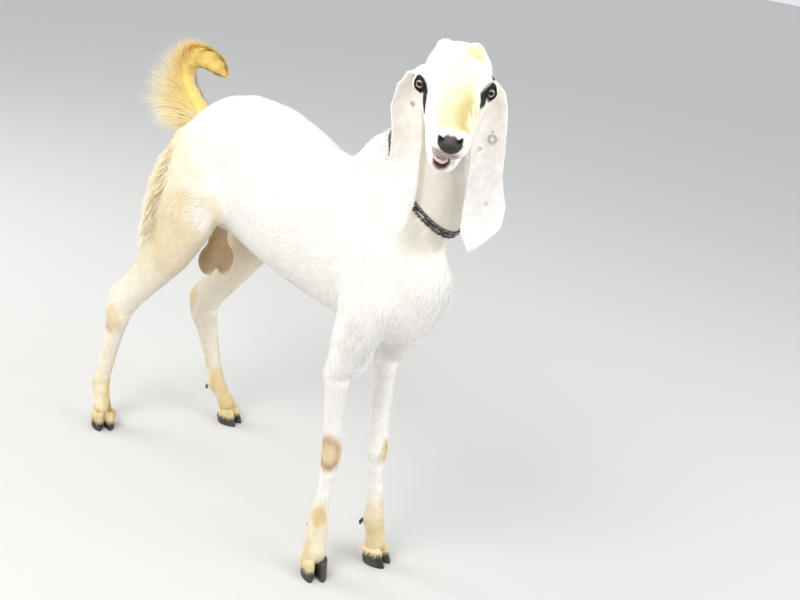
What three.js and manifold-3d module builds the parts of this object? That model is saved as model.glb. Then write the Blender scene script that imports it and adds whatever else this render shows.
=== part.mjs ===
// A young white buck goat of a long-eared breed, life size, standing with its head turned to its
// right and its tail up. It wears a narrow collar.
//
// Units are millimetres. +X is forward, +Y the goat's left and +Z up. The goat is laid out from a point
// on the ground midway between its front feet, and the finished group is moved so that the middle of
// the bottom of its box is the origin.
import * as THREE from "three";
import { mergeVertices } from "three/addons/utils/BufferGeometryUtils.js";
import Module from "manifold-3d";

const wasm = await Module();
wasm.setup();

// ---- driving dimensions ----
const WITHERS = 692; // height of the back over the shoulders, with its coat
const CROUP = 718; // height of the rump
const HALF_CHEST = 94; // half the width of the rib cage
const SOLE_TO_CORONET = 27; // height of the hoof wall in front
const CLAW_LENGTH = 46;
const CLAW_WIDTH = 21;
const CLEFT = 2.4; // space between the two claws of a foot
const CUT = 0.35; // space left between two neighbouring pieces
const EYE_RADIUS = 13;
const EAR_LENGTH = 215;
const COLLAR_WIDTH = 16;
const COLLAR_THICKNESS = 4;

const FORWARD = new THREE.Vector3(1, 0, 0);
const LEFT = new THREE.Vector3(0, 1, 0);
const UP = new THREE.Vector3(0, 0, 1);
const SIDES = ["left", "right"];
const OUTWARDS = { left: 1, right: -1 };

const HEAD_PLACE = new THREE.Vector3(118, -68, 853); // the point midway between the eyes
const HEAD_TURN = THREE.MathUtils.degToRad(-42.6);
const HEAD_DROP = THREE.MathUtils.degToRad(33);
const HEAD_TILT = THREE.MathUtils.degToRad(2.5);

// The joints of each leg, from the ground up, as [forward, left, height].
const FORE = {
  right: {
    foot: [-12, -60, 0],
    fetlock: [-25, -56, 92],
    knee: [-16, -60, 228],
    elbow: [-21, -70, 374],
    shoulder: [22, -60, 500],
    blade: [-70, -42, 650],
    toeOut: -26,
  },
  left: {
    foot: [8, 62, 0],
    fetlock: [-2, 51, 88],
    knee: [-11, 37, 220],
    elbow: [-44, 52, 374],
    shoulder: [18, 58, 500],
    blade: [-70, 42, 650],
    toeOut: 18,
  },
};
const HIND = {
  right: {
    foot: [-618, -126, 0],
    fetlock: [-642, -124, 86],
    hock: [-617, -109, 256],
    stifle: [-424, -92, 470],
    hip: [-490, -60, 610],
    toeOut: -18,
  },
  left: {
    foot: [-530, 117, 0],
    fetlock: [-563, 98, 82],
    hock: [-594, 64, 246],
    stifle: [-424, 90, 470],
    hip: [-490, 60, 610],
    toeOut: 20,
  },
};

// ---- solids ----
// A closed three.js geometry as a solid.
function solid(geometry) {
  const plain = geometry.clone();
  plain.deleteAttribute("normal");
  plain.deleteAttribute("uv");
  const merged = mergeVertices(plain, 1e-4);
  return new wasm.Manifold(
    new wasm.Mesh({
      numProp: 3,
      vertProperties: new Float32Array(merged.attributes.position.array),
      triVerts: new Uint32Array(merged.index.array),
    }),
  );
}

// The largest body of a solid, without the crumbs that a cut may leave.
function largest(body) {
  const bodies = body.decompose();
  return bodies.reduce((a, b) => (b.volume() > a.volume() ? b : a));
}

function geometryOf(body) {
  const mesh = body.getMesh();
  const geometry = new THREE.BufferGeometry();
  geometry.setAttribute("position", new THREE.BufferAttribute(new Float32Array(mesh.vertProperties), 3));
  geometry.setIndex(new THREE.BufferAttribute(new Uint32Array(mesh.triVerts), 1));
  geometry.computeVertexNormals();
  return geometry;
}

// A signed power of a coordinate of a unit circle. Rounding noise round zero is dropped, so a seam closes.
const signedPower = (value, power) =>
  Math.abs(value) < 1e-9 ? 0 : Math.sign(value) * Math.abs(value) ** power;

// A smooth closed body round a line. Each row is [x, y, z, half width, reach above, reach below]: above
// is the side towards tangent x across, which is up on a body that runs forward and forward on a leg
// that runs down. `across` is the direction of the width, or a function of the way along from 0 to 1.
// `square` and `roof` shape the lower and the upper half of a section: 1 is an ellipse, less is squarer
// and more is sharper.
function loft(rows, { across = LEFT, around = 14, steps = 1, square = 1, roof = square, grow = 0 } = {}) {
  const centres = rows.map((row) => new THREE.Vector3(row[0], row[1], row[2]));
  const sizes = rows.map((row) => new THREE.Vector3(row[3], row[4], row[5]));
  const first = centres[0].clone().sub(centres[1]).setLength(grow);
  const last = centres.at(-1).clone().sub(centres.at(-2)).setLength(grow);
  const line = new THREE.CatmullRomCurve3(centres);
  const size = new THREE.CatmullRomCurve3(sizes);
  const rings = (rows.length - 1) * steps;
  const geometry = new THREE.CylinderGeometry(1, 1, 1, around, rings);
  const place = geometry.attributes.position;
  for (let i = 0; i < place.count; i++) {
    const along = THREE.MathUtils.clamp(0.5 - place.getY(i), 0, 1);
    const centre = line.getPoint(along);
    const reach = size.getPoint(along);
    const tangent = line.getTangent(along);
    const width = (typeof across === "function" ? across(along) : across).clone();
    width.addScaledVector(tangent, -width.dot(tangent)).normalize();
    const rise = tangent.clone().cross(width);
    const power = place.getZ(i) > 0 ? roof : square;
    const sideways = signedPower(place.getX(i), power);
    const upwards = signedPower(place.getZ(i), power);
    centre.addScaledVector(width, sideways * (reach.x + grow));
    centre.addScaledVector(rise, upwards * ((upwards > 0 ? reach.y : reach.z) + grow));
    if (along === 0) centre.add(first);
    if (along === 1) centre.add(last);
    place.setXYZ(i, centre.x, centre.y, centre.z);
  }
  return solid(geometry);
}

// An ellipsoid: centre, half sizes and the turn that sets it in place.
function ellipsoid(centre, half, { frame = new THREE.Matrix4(), around = 16, down = 10, grow = 0 } = {}) {
  const geometry = new THREE.SphereGeometry(1, around, down);
  geometry.scale(half[0] + grow, half[1] + grow, half[2] + grow);
  geometry.translate(...centre);
  geometry.applyMatrix4(frame);
  return solid(geometry);
}

const join = (...bodies) => bodies.reduce((a, b) => a.add(b));
const cut = (body, ...tools) => largest(tools.reduce((a, b) => a.subtract(b), body));

// ---- the head's own frame: x towards the muzzle, y left, z towards the forehead ----
const headFrame = new THREE.Matrix4()
  .makeRotationFromEuler(new THREE.Euler(HEAD_TILT, HEAD_DROP, HEAD_TURN, "ZYX"))
  .setPosition(HEAD_PLACE);
const headDirection = (x, y, z) => new THREE.Vector3(x, y, z).transformDirection(headFrame);
const headPoint = (x, y, z) => new THREE.Vector3(x, y, z).applyMatrix4(headFrame);
const inHead = (rows) =>
  rows.map((row) => [...headPoint(row[0], row[1], row[2]).toArray(), ...row.slice(3)]);
const headLeft = headDirection(0, 1, 0);

// ---- trunk ----
// Each row of the trunk is the distance forward, the half width and the heights of its top and bottom.
const TRUNK_PROFILE = [
  [-604, 16, 612, 576],
  [-592, 44, 634, 540],
  [-568, 64, 643, 500],
  [-535, 76, 661, 474],
  [-500, 82, 688, 464],
  [-455, 83, CROUP - 6, 459],
  [-400, 80, CROUP + 9, 460],
  [-335, 84, CROUP + 9, 451],
  [-270, HALF_CHEST - 2, 711, 443],
  [-207, HALF_CHEST, 691, 437],
  [-140, HALF_CHEST - 4, WITHERS, 432],
  [-80, HALF_CHEST - 12, 682, 427],
  [-25, 75, 654, 421],
  [30, 66, 632, 428],
  [70, 55, 614, 454],
  [93, 41, 592, 484],
  [106, 18, 560, 510],
];
const TRUNK_ROWS = TRUNK_PROFILE.map(([x, halfWidth, top, bottom]) => {
  const middle = (top + bottom) / 2;
  return [x, 0, middle, halfWidth, top - middle, middle - bottom];
});
const trunkLoft = () => loft(TRUNK_ROWS, { around: 18, square: 0.95, roof: 1.06 });
const sheath = () =>
  loft(
    [
      [-430, 0, 472, 12, 10, 10],
      [-385, 0, 456, 14, 12, 12],
      [-350, 0, 444, 12, 10, 13],
      [-330, 0, 438, 6, 5, 8],
    ],
    { around: 10 },
  );

// ---- neck ----
const NECK_ROWS = [
  [-96, 0, 548, 72, 122, 124],
  [-34, 0, 622, 62, 126, 121],
  [24, -3, 692, 50, 117, 98],
  [48, -10, 750, 42, 81, 66],
  [60, -17, 805, 38, 58, 56],
  [70, -25, 862, 34, 44, 44],
];
const neckAcross = (along) => {
  const turn = HEAD_TURN * THREE.MathUtils.smoothstep(along, 0.35, 1);
  return new THREE.Vector3(-Math.sin(turn), Math.cos(turn), 0);
};
const neckLoft = (grow = 0) =>
  loft(NECK_ROWS, { across: neckAcross, steps: 2, around: 14, roof: 1.15, grow });

// ---- head ----
const SKULL_ROWS = [
  [-86, 0, -8, 12, 12, 12],
  [-78, 0, -5, 31, 25, 28],
  [-56, 1.5, -3, 47.5, 35, 40],
  [-25, 2, -3, 52, 42, 46],
  [5, 0, -4, 47.5, 44, 46],
  [34, 0, -5, 42.5, 41, 42],
  [62, 0, -6, 37, 34, 35],
  [86, 0, -5, 31.5, 27, 27],
  [102, 0, -3, 25.5, 21, 23],
  [111, 0, -1, 18, 16, 18],
  [115, 0, 0, 9, 9, 10],
];
const JAW_ROWS = [
  [-52, 0, -36, 24, 14, 12],
  [-38, 0, -44, 36, 20, 22],
  [-5, 0, -47, 38, 20, 22],
  [30, -1, -48, 36, 18, 18],
  [60, -3, -48, 31, 15, 15],
  [84, -5, -46, 24, 15, 17],
  [97, -6, -44, 18.5, 14, 14],
  [105, -6, -42, 12, 10, 9],
  [109, -6, -41, 5, 4, 4],
];
function headSolid(grow = 0) {
  const skull = loft(inHead(SKULL_ROWS), { across: headLeft, around: 14, square: 0.92, grow });
  const jaw = loft(inHead(JAW_ROWS), { across: headLeft, grow });
  const orbits = [1, -1].map((side) =>
    ellipsoid([-5, side * 37.5 + 0.5, 10], [21, 19, 20], { frame: headFrame, around: 10, down: 6, grow }),
  );
  const crownKnobs = [1, -1].map((side) =>
    ellipsoid([-58, side * 21, 20], [18, 16, 15], { frame: headFrame, around: 8, down: 6, grow }),
  );
  return join(skull, jaw, ...orbits, ...crownKnobs);
}
const eyeball = (side, grow) =>
  ellipsoid([1, side * 42.5, 8], [EYE_RADIUS, EYE_RADIUS, EYE_RADIUS], {
    frame: headFrame,
    around: 10,
    down: 8,
    grow,
  });
// The mouth is a slit between the lips, open in front.
const mouthSlit = () =>
  loft(
    inHead([
      [52, 0, -35, 40, 0.8, 0.8],
      [80, 0, -30, 36, 2, 2],
      [102, 0, -25, 34, 4.5, 4.5],
      [124, 0, -22, 34, 9, 9],
    ]),
    { across: headLeft, around: 8, steps: 1, square: 0.4 },
  );
const TONGUE_ROWS = [
  [70, -3, -32, 9, 1.0, 1.0],
  [90, -7, -27.5, 11, 2.6, 2.6],
  [106, -10, -23.5, 12, 3.4, 3.4],
  [114, -12, -23, 7, 2.4, 2.4],
];
const tongueAcross = headDirection(0, 0.94, -0.34);
const tongueLoft = (grow) => loft(inHead(TONGUE_ROWS), { across: tongueAcross, around: 8, grow });

// ---- ears: long flat leaves that hang from the sides of the head ----
// `line` is the middle of the ear from root to tip, `facings` the directions of its outer face there and
// `slant` how much further its front edge reaches down at the tip than its rear edge.
function ear({ line, facings, slant }, grow) {
  const middle = new THREE.CatmullRomCurve3(line);
  const facing = new THREE.CatmullRomCurve3(facings);
  const geometry = new THREE.BoxGeometry(2, 1, 2, 6, 11, 1);
  const place = geometry.attributes.position;
  for (let i = 0; i < place.count; i++) {
    const across = place.getX(i);
    const along = THREE.MathUtils.clamp(0.5 - place.getY(i), 0, 1);
    const centre = middle.getPoint(along);
    const down = middle.getTangent(along);
    const out = facing.getPoint(along);
    out.addScaledVector(down, -out.dot(down)).normalize();
    const side = out.clone().cross(down);
    const halfWidth = earHalfWidth(along) + grow;
    const cup = 9 * Math.sin(Math.PI * Math.min(1, 0.25 + along)) * across * across;
    const thickness = (3.4 - 1.4 * along) * Math.sqrt(1.05 - 0.85 * across * across) + grow;
    centre.addScaledVector(side, across * halfWidth);
    centre.addScaledVector(down, across * slant * THREE.MathUtils.smoothstep(along, 0.6, 1));
    centre.addScaledVector(out, -cup + place.getZ(i) * thickness);
    if (along === 1) centre.addScaledVector(down, grow);
    if (along === 0) centre.addScaledVector(down, -grow);
    place.setXYZ(i, centre.x, centre.y, centre.z);
  }
  return solid(geometry);
}
function earHalfWidth(along) {
  const root = 15 + 10 * THREE.MathUtils.smoothstep(along, 0, 0.4);
  const blade = root + 7 * THREE.MathUtils.smoothstep(along, 0.6, 0.85);
  const tip = Math.sqrt(Math.max(0, 1 - ((along - 0.84) / 0.17) ** 2));
  return along < 0.84 ? blade : Math.max(6, blade * tip);
}
const spot = (x, y, z) => new THREE.Vector3(x, y, z);
const EARS = {
  left: {
    line: [
      headPoint(-36, 40, -6),
      headPoint(-30, 54, -22),
      spot(136, -9, 820),
      spot(140, -7, 774),
      spot(144, -5, 728),
      spot(151, -1, 684),
      spot(150, -3, 850 - EAR_LENGTH),
    ],
    facings: [spot(-0.2, 0.9, 0.3), spot(-0.5, 0.6, 0), spot(-0.7, 0.55, 0), spot(-0.72, 0.6, 0)],
    slant: 10,
  },
  right: {
    line: [
      headPoint(-38, -40, -2),
      headPoint(-40, -60, -14),
      spot(49, -94, 824),
      spot(58, -88, 778),
      spot(61, -86, 728),
      spot(64, -86, 682),
      spot(69, -85, 848 - EAR_LENGTH),
    ],
    facings: [spot(-0.5, -0.8, 0.3), spot(-0.94, 0.2, 0), spot(-0.93, 0.25, 0), spot(-0.98, -0.2, 0)],
    slant: 0,
  },
};
const earSolid = (side, grow) => ear(EARS[side], grow);

// ---- legs ----
const at = (a, b, way) => new THREE.Vector3(...a).lerp(new THREE.Vector3(...b), way);
const row = (point, shift, wide, front, back) => [
  point.x + shift,
  point.y,
  point.z,
  wide,
  front,
  back,
];
const outward = (degrees) => {
  const turn = THREE.MathUtils.degToRad(degrees);
  return new THREE.Vector3(-Math.sin(turn), Math.cos(turn), 0);
};
// The middle of the coronet, above and a little behind the middle of the foot.
const coronet = (foot) => [foot[0] - 7, foot[1], SOLE_TO_CORONET + 3];

function foreRows(leg) {
  const top = coronet(leg.foot);
  return [
    row(at(leg.blade, leg.shoulder, 0), 0, 12, 26, 26),
    row(at(leg.blade, leg.shoulder, 0.45), 0, 24, 48, 46),
    row(at(leg.blade, leg.shoulder, 1), -18, 32, 62, 54),
    row(at(leg.shoulder, leg.elbow, 0.5), -6, 32, 48, 43),
    row(at(leg.shoulder, leg.elbow, 0.82), 0, 28, 38, 33),
    row(at(leg.shoulder, leg.elbow, 1), -2, 25, 29, 27),
    row(at(leg.elbow, leg.knee, 0.25), 0, 21, 22, 22),
    row(at(leg.elbow, leg.knee, 0.6), 0, 18, 18.5, 19.5),
    row(at(leg.elbow, leg.knee, 0.9), 1, 18.5, 18.5, 19.5),
    row(at(leg.elbow, leg.knee, 1.04), 1, 19, 19.5, 20),
    row(at(leg.knee, leg.fetlock, 0.2), 0, 16, 15.5, 18),
    row(at(leg.knee, leg.fetlock, 0.45), 0, 14, 13.5, 15.5),
    row(at(leg.knee, leg.fetlock, 0.75), 0, 15.5, 15, 17),
    row(at(leg.knee, leg.fetlock, 1), 1, 19.5, 18, 21),
    row(at(leg.fetlock, top, 0.5), 0, 20, 18, 18),
    row(at(leg.fetlock, top, 1), 0, 22.5, 21, 21),
  ];
}

function hindRows(leg) {
  const top = coronet(leg.foot);
  return [
    row(at(leg.hip, leg.stifle, -0.25), -20, 12, 44, 40),
    row(at(leg.hip, leg.stifle, 0.1), -26, 26, 76, 66),
    row(at(leg.hip, leg.stifle, 0.5), -38, 36, 112, 76),
    row(at(leg.hip, leg.stifle, 0.86), -56, 37, 124, 78),
    row(at(leg.stifle, leg.hock, 0.26), -34, 31, 74, 60),
    row(at(leg.stifle, leg.hock, 0.55), -10, 24, 44, 48),
    row(at(leg.stifle, leg.hock, 0.8), -2, 21.5, 31, 44),
    row(at(leg.stifle, leg.hock, 0.96), -6, 22.5, 38, 48),
    row(at(leg.hock, leg.fetlock, 0.12), -2, 22.5, 36, 38),
    row(at(leg.hock, leg.fetlock, 0.3), 0, 19.5, 26, 26),
    row(at(leg.hock, leg.fetlock, 0.6), 0, 18, 20, 19),
    row(at(leg.hock, leg.fetlock, 0.85), 0, 17, 18, 18),
    row(at(leg.hock, leg.fetlock, 1), 1, 18.5, 18, 21),
    row(at(leg.fetlock, top, 0.5), 0, 18, 16, 17),
    row(at(leg.fetlock, top, 1), 0, 21.5, 20, 20),
  ];
}

// The line along the pastern, down and forward to the coronet.
function pasternLine(leg) {
  return new THREE.Vector3(...coronet(leg.foot)).sub(new THREE.Vector3(...leg.fetlock)).normalize();
}

// One claw: a hoof with a flat sole on the ground, a rounded toe and a slanted top under the coronet.
function claw(leg, inner) {
  const facing = outward(leg.toeOut);
  const forward = new THREE.Vector3(facing.y, -facing.x, 0);
  const slope = pasternLine(leg);
  const topPoint = new THREE.Vector3(...coronet(leg.foot)).addScaledVector(slope, CUT);
  const geometry = new THREE.CylinderGeometry(1, 1, 1, 14, 1);
  const place = geometry.attributes.position;
  for (let i = 0; i < place.count; i++) {
    const up = place.getY(i) + 0.5;
    const reach = THREE.MathUtils.lerp(1, 0.84, up);
    const lengthwise = place.getZ(i);
    const crosswise = place.getX(i);
    const toe = CLAW_LENGTH * 0.55 * reach;
    const heel = CLAW_LENGTH * 0.4 * reach;
    const x = lengthwise > 0 ? lengthwise * toe : lengthwise * heel;
    const taper = 1 - 0.32 * Math.max(0, lengthwise) ** 2;
    const spread = crosswise * CLAW_WIDTH * 0.5 * taper + inner * 0.8 * Math.max(0, lengthwise);
    const y = spread * (0.9 + 0.1 * reach);
    const point = new THREE.Vector3(leg.foot[0], leg.foot[1], 0);
    point.addScaledVector(forward, x - 9 * up);
    point.addScaledVector(facing, y - inner * (CLAW_WIDTH + CLEFT) * 0.5);
    const beyond = slope.x * (point.x - topPoint.x) + slope.y * (point.y - topPoint.y);
    const ceiling = topPoint.z - beyond / slope.z;
    point.z = up * Math.min(ceiling, SOLE_TO_CORONET + 4);
    place.setXYZ(i, point.x, point.y, point.z);
  }
  return solid(geometry);
}

// One of the two small horny nubs behind the fetlock.
function dewclaw(leg, side, grow) {
  const line = pasternLine(leg);
  const facing = outward(leg.toeOut);
  const forward = new THREE.Vector3(facing.y, -facing.x, 0);
  const root = new THREE.Vector3(...leg.fetlock)
    .addScaledVector(line, 9)
    .addScaledVector(facing, side * 9.5);
  const knot = (back, down, size) => {
    const point = root.clone().addScaledVector(forward, -17 - back);
    return [point.x, point.y, point.z - down, size, size * 0.8, size * 0.8];
  };
  const rows = [knot(-7, -5, 4.5), knot(0, 0, 5.5), knot(5, 7, 4.5), knot(5, 13, 2)];
  return loft(rows, { around: 6, grow });
}

// The width of a leg points straight out above and turns with the foot below.
const legAcross = (leg) => (along) => outward(leg.toeOut * THREE.MathUtils.smoothstep(along, 0.35, 0.8));
const legLoft = (rows, leg) => loft(rows, { across: legAcross(leg), around: 12 });
const foreLoft = (side) => legLoft(foreRows(FORE[side]), FORE[side]);
const hindLoft = (side) => legLoft(hindRows(HIND[side]), HIND[side]);

// ---- tail: a raised core that curls forward, with a fan of hair behind it ----
const TAIL_ROWS = [
  [-546, 0, 632, 14, 30, 14],
  [-572, 0, 648, 17, 80, 16],
  [-600, -2, 668, 18, 110, 15],
  [-621, -4, 690, 19, 96, 14],
  [-630, -4, 712, 20, 66, 15],
  [-622, -3, 731, 20, 36, 17],
  [-598, -2, 742, 20, 19, 21],
  [-566, 0, 745, 18, 18, 21],
  [-540, 1, 742, 14, 17, 15],
  [-520, 2, 736, 8, 10, 8],
  [-508, 2, 731, 3, 4, 4],
];
const TAIL_TWIST = 28; // degrees that the fan of hair turns towards the goat's right
const tailLoft = (grow = 0) =>
  loft(TAIL_ROWS, { across: outward(TAIL_TWIST), around: 12, steps: 2, roof: 1.3, grow });

// ---- scrotum: two lobes under a short neck ----
function scrotumSolid(grow = 0) {
  const lobes = [1, -1].map((side) =>
    ellipsoid([-476, side * 19, 394], [25, 21, 34], { around: 10, down: 6, grow }),
  );
  const nubs = [1, -1].map((side) =>
    ellipsoid([-474, side * 15, 364], [8, 8, 9], { around: 6, down: 4, grow }),
  );
  const root = loft(
    [
      [-478, 0, 482, 26, 18, 18],
      [-477, 0, 440, 26, 19, 19],
      [-476, 0, 405, 24, 18, 18],
    ],
    { around: 10, grow },
  );
  return join(root, ...lobes, ...nubs);
}

// ---- collar ----
const COLLAR_CENTRE = new THREE.Vector3(29, -4, 697);
const COLLAR_AXIS = new THREE.Vector3(0.6, -0.06, 0.78).normalize();
const SUNK = 2; // how deep the collar presses into the coat
const OUTSIDE = COLLAR_THICKNESS - SUNK; // the collar's outer face above the coat
const BUCKLE_PLACE = 33; // degrees round the neck from the throat towards the left
const KEEPER_PLACE = 52;
const RING_PLACE = 96;
const RING_RADIUS = 11;

// A frame on the collar: x out from the neck, y along the strap and z along the neck.
function collarFrame(degrees) {
  const throat = new THREE.Vector3(1, 0, 0).addScaledVector(COLLAR_AXIS, -COLLAR_AXIS.x).normalize();
  const out = throat.applyAxisAngle(COLLAR_AXIS, THREE.MathUtils.degToRad(degrees));
  const strap = COLLAR_AXIS.clone().cross(out);
  return new THREE.Matrix4().makeBasis(out, strap, COLLAR_AXIS).setPosition(COLLAR_CENTRE);
}
// A block that runs out from the middle of the neck, `long` along the strap and `wide` across it.
function collarBlock(degrees, long, wide, shift = 0) {
  const block = new THREE.BoxGeometry(160, long, wide);
  block.translate(80, shift, 0);
  return solid(block.applyMatrix4(collarFrame(degrees)));
}
const collarSlab = (width) => solid(new THREE.BoxGeometry(320, 320, width).applyMatrix4(collarFrame(0)));
// The layer of space between two heights over the coat.
const layer = (from, to) => neckLoft(to).subtract(neckLoft(from));

const collarBand = () => layer(-SUNK, OUTSIDE).intersect(collarSlab(COLLAR_WIDTH));
const collarGroove = () =>
  layer(-SUNK - CUT, COLLAR_THICKNESS).intersect(collarSlab(COLLAR_WIDTH + 2 * CUT));
// A rectangular frame round the strap with a tongue across its middle.
function buckle() {
  const frame = collarBlock(BUCKLE_PLACE, 20, COLLAR_WIDTH + 6).subtract(
    collarBlock(BUCKLE_PLACE, 13, COLLAR_WIDTH - 1),
  );
  const pin = collarBlock(BUCKLE_PLACE, 20, 2.6);
  return layer(OUTSIDE + CUT, OUTSIDE + CUT + 3).intersect(frame.add(pin));
}
const keeper = () =>
  layer(OUTSIDE + CUT, OUTSIDE + CUT + 1.8).intersect(collarBlock(KEEPER_PLACE, 7, COLLAR_WIDTH + 2));
// A bow that stands on the strap.
function leadRing() {
  const bow = new THREE.TorusGeometry(RING_RADIUS, 1.8, 6, 14);
  bow.rotateX(Math.PI / 2);
  bow.translate(collarReach(RING_PLACE) + RING_RADIUS * 0.7, 0, 0);
  return solid(bow.applyMatrix4(collarFrame(RING_PLACE))).subtract(neckLoft(OUTSIDE + CUT));
}
// How far the coat is from the middle of the collar in one direction.
function collarReach(degrees) {
  const probe = collarBlock(degrees, 1, 1).intersect(neckLoft()).boundingBox();
  const ends = new THREE.Vector3(...probe.min).sub(new THREE.Vector3(...probe.max));
  return ends.length();
}

// ---- the cuts that part the flesh ----
// A prism over an outline in the plane of two axes. It begins at `start` along their cross product and is
// `deep` long. Grown, it reaches further by that much on every side.
function prism(outline, first, second, start, deep) {
  const shape = new THREE.Shape(outline.map(([a, b]) => new THREE.Vector2(a, b)));
  return (grow) => {
    const geometry = new THREE.ExtrudeGeometry(shape, {
      depth: deep,
      bevelEnabled: grow > 0,
      bevelThickness: grow,
      bevelSize: grow,
      bevelSegments: 1,
    });
    const third = first.clone().cross(second);
    geometry.translate(0, 0, start);
    geometry.applyMatrix4(new THREE.Matrix4().makeBasis(first, second, third));
    return solid(geometry);
  };
}
const REACH = 260; // past the goat's side
const INSIDE = 30; // from the middle plane to the inner face of a leg's piece

// Seen from the front: from the armpit out over the upper arm.
const foreRegion = (side) =>
  prism(
    [
      [OUTWARDS[side] * 16, -20],
      [OUTWARDS[side] * REACH, -20],
      [OUTWARDS[side] * REACH, 540],
      [OUTWARDS[side] * 16, 400],
    ],
    LEFT,
    UP,
    -74,
    224,
  );
// Seen from the side: round the front of the thigh, over the hip and back to the seat bone.
const THIGH_OUTLINE = [
  [-300, -20],
  [-330, 430],
  [-372, 520],
  [-440, 612],
  [-510, 648],
  [-575, 632],
  [-700, 600],
  [-700, -20],
];
const hindRegion = (side) =>
  prism(THIGH_OUTLINE, FORWARD, UP, side === "left" ? -REACH : INSIDE, REACH - INSIDE);
const neckRegion = prism(
  [
    [-140, 712],
    [130, 584],
    [400, 584],
    [400, 1100],
    [-140, 1100],
  ],
  FORWARD,
  UP,
  -REACH,
  2 * REACH,
);
// In the head's own frame: down behind the crown to the throat, then forward under the jaw.
const HEAD_OUTLINE = [
  [-92, 70],
  [-84, 12],
  [-34, -80],
  [30, -88],
  [150, -88],
  [150, 70],
];
const headRegion = (grow) =>
  prism(HEAD_OUTLINE, FORWARD, UP, -REACH / 2, REACH)(grow).transform(headFrame.elements);

// ---- assembly ----
const COATS = {
  white: { color: 0xf4efe2, roughness: 0.85, metalness: 0 },
  cream: { color: 0xe6d2a4, roughness: 0.85, metalness: 0 },
  gold: { color: 0xd9a04e, roughness: 0.85, metalness: 0 },
  skin: { color: 0xb59384, roughness: 0.6, metalness: 0 },
  pink: { color: 0xe9a6a4, roughness: 0.4, metalness: 0 },
  eye: { color: 0x2a2318, roughness: 0.05, metalness: 0 },
  horn: { color: 0x2b2826, roughness: 0.5, metalness: 0 },
  strap: { color: 0x1c1b1c, roughness: 0.55, metalness: 0 },
  steel: { color: 0xb9b8b2, roughness: 0.3, metalness: 1 },
};
const goat = new THREE.Group();
goat.name = "goat";

function add(name, finish, body) {
  const mesh = new THREE.Mesh(geometryOf(largest(body)), new THREE.MeshStandardMaterial(COATS[finish]));
  mesh.name = name;
  goat.add(mesh);
  return mesh;
}

// The flesh is one body that is parted with thin cuts.
const whole = join(
  trunkLoft(),
  sheath(),
  neckLoft(),
  headSolid(),
  ...SIDES.flatMap((side) => [foreLoft(side), hindLoft(side)]),
);
let rest = whole;
function part(region) {
  const piece = largest(rest.intersect(region(0)));
  rest = largest(rest.subtract(region(CUT)));
  return piece;
}

for (const side of SIDES) {
  for (const [legName, joints, region] of [
    ["fore", FORE[side], foreRegion(side)],
    ["hind", HIND[side], hindRegion(side)],
  ]) {
    const nubs = [1, -1].map((towards) => dewclaw(joints, towards, CUT));
    add(`${legName}leg_${side}`, legName === "fore" ? "white" : "cream", cut(part(region), ...nubs));
    for (const place of ["outer", "inner"]) {
      const towards = (place === "outer" ? 1 : -1) * OUTWARDS[side];
      add(`claw_${legName}_${side}_${place}`, "horn", claw(joints, -towards));
      add(`dewclaw_${legName}_${side}_${place}`, "horn", dewclaw(joints, towards, 0));
    }
  }
}
const headPart = part(headRegion);
add("head", "white", cut(headPart, eyeball(1, CUT), eyeball(-1, CUT), mouthSlit(), tongueLoft(CUT)));
add("tongue", "pink", tongueLoft(0));
add("eye_left", "eye", eyeball(1, 0));
add("eye_right", "eye", eyeball(-1, 0));
for (const side of SIDES) add(`ear_${side}`, "white", cut(earSolid(side, 0), headSolid(CUT)));
add("neck", "white", cut(part(neckRegion), collarGroove()));
add("collar", "strap", collarBand());
add("collar_keeper", "strap", keeper());
add("collar_buckle", "steel", buckle());
add("collar_ring", "steel", leadRing());
add("tail", "gold", tailLoft());
add("scrotum", "skin", scrotumSolid());
add("trunk", "white", cut(rest, tailLoft(CUT), scrotumSolid(CUT)));

const box = new THREE.Box3().setFromObject(goat);
goat.position.set(-(box.min.x + box.max.x) / 2, -(box.min.y + box.max.y) / 2, -box.min.z);

export default goat;
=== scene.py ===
"""A young white goat with long hanging ears and a collar, standing with its tail up.

The CAD frame gives the outline out to the tips of the coat. Here its nodes of flesh become one skin that
lies inside them by the coat's depth, and tufts of hair grow from that skin back out to the outline.
Lengths are metres unless a name ends in _mm.
"""

import math

import bpy
import numpy as np
import openvdb as vdb
from mathutils import Matrix, Vector


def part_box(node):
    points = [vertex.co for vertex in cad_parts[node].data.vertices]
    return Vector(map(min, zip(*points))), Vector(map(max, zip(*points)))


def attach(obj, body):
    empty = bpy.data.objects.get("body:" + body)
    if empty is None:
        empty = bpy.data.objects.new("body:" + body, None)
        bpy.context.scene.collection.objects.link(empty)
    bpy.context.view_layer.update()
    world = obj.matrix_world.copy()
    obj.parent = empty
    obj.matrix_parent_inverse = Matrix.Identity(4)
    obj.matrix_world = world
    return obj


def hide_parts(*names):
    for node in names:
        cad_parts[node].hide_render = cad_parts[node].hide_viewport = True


SEED = 20
MM = 0.001

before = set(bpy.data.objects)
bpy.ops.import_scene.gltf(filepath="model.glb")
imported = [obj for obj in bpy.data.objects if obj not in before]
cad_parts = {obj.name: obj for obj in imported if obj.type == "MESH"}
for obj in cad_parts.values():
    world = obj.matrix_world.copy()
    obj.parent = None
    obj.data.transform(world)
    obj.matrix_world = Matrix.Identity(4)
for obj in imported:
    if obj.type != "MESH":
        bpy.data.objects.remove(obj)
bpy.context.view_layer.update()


# ---- places: everything follows from the two eyes of the CAD frame ----
def rotation(axis, degrees):
    c, s = math.cos(math.radians(degrees)), math.sin(math.radians(degrees))
    if axis == "x":
        return np.array([[1, 0, 0], [0, c, -s], [0, s, c]])
    if axis == "y":
        return np.array([[c, 0, s], [0, 1, 0], [-s, 0, c]])
    return np.array([[c, -s, 0], [s, c, 0], [0, 0, 1]])


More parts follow.
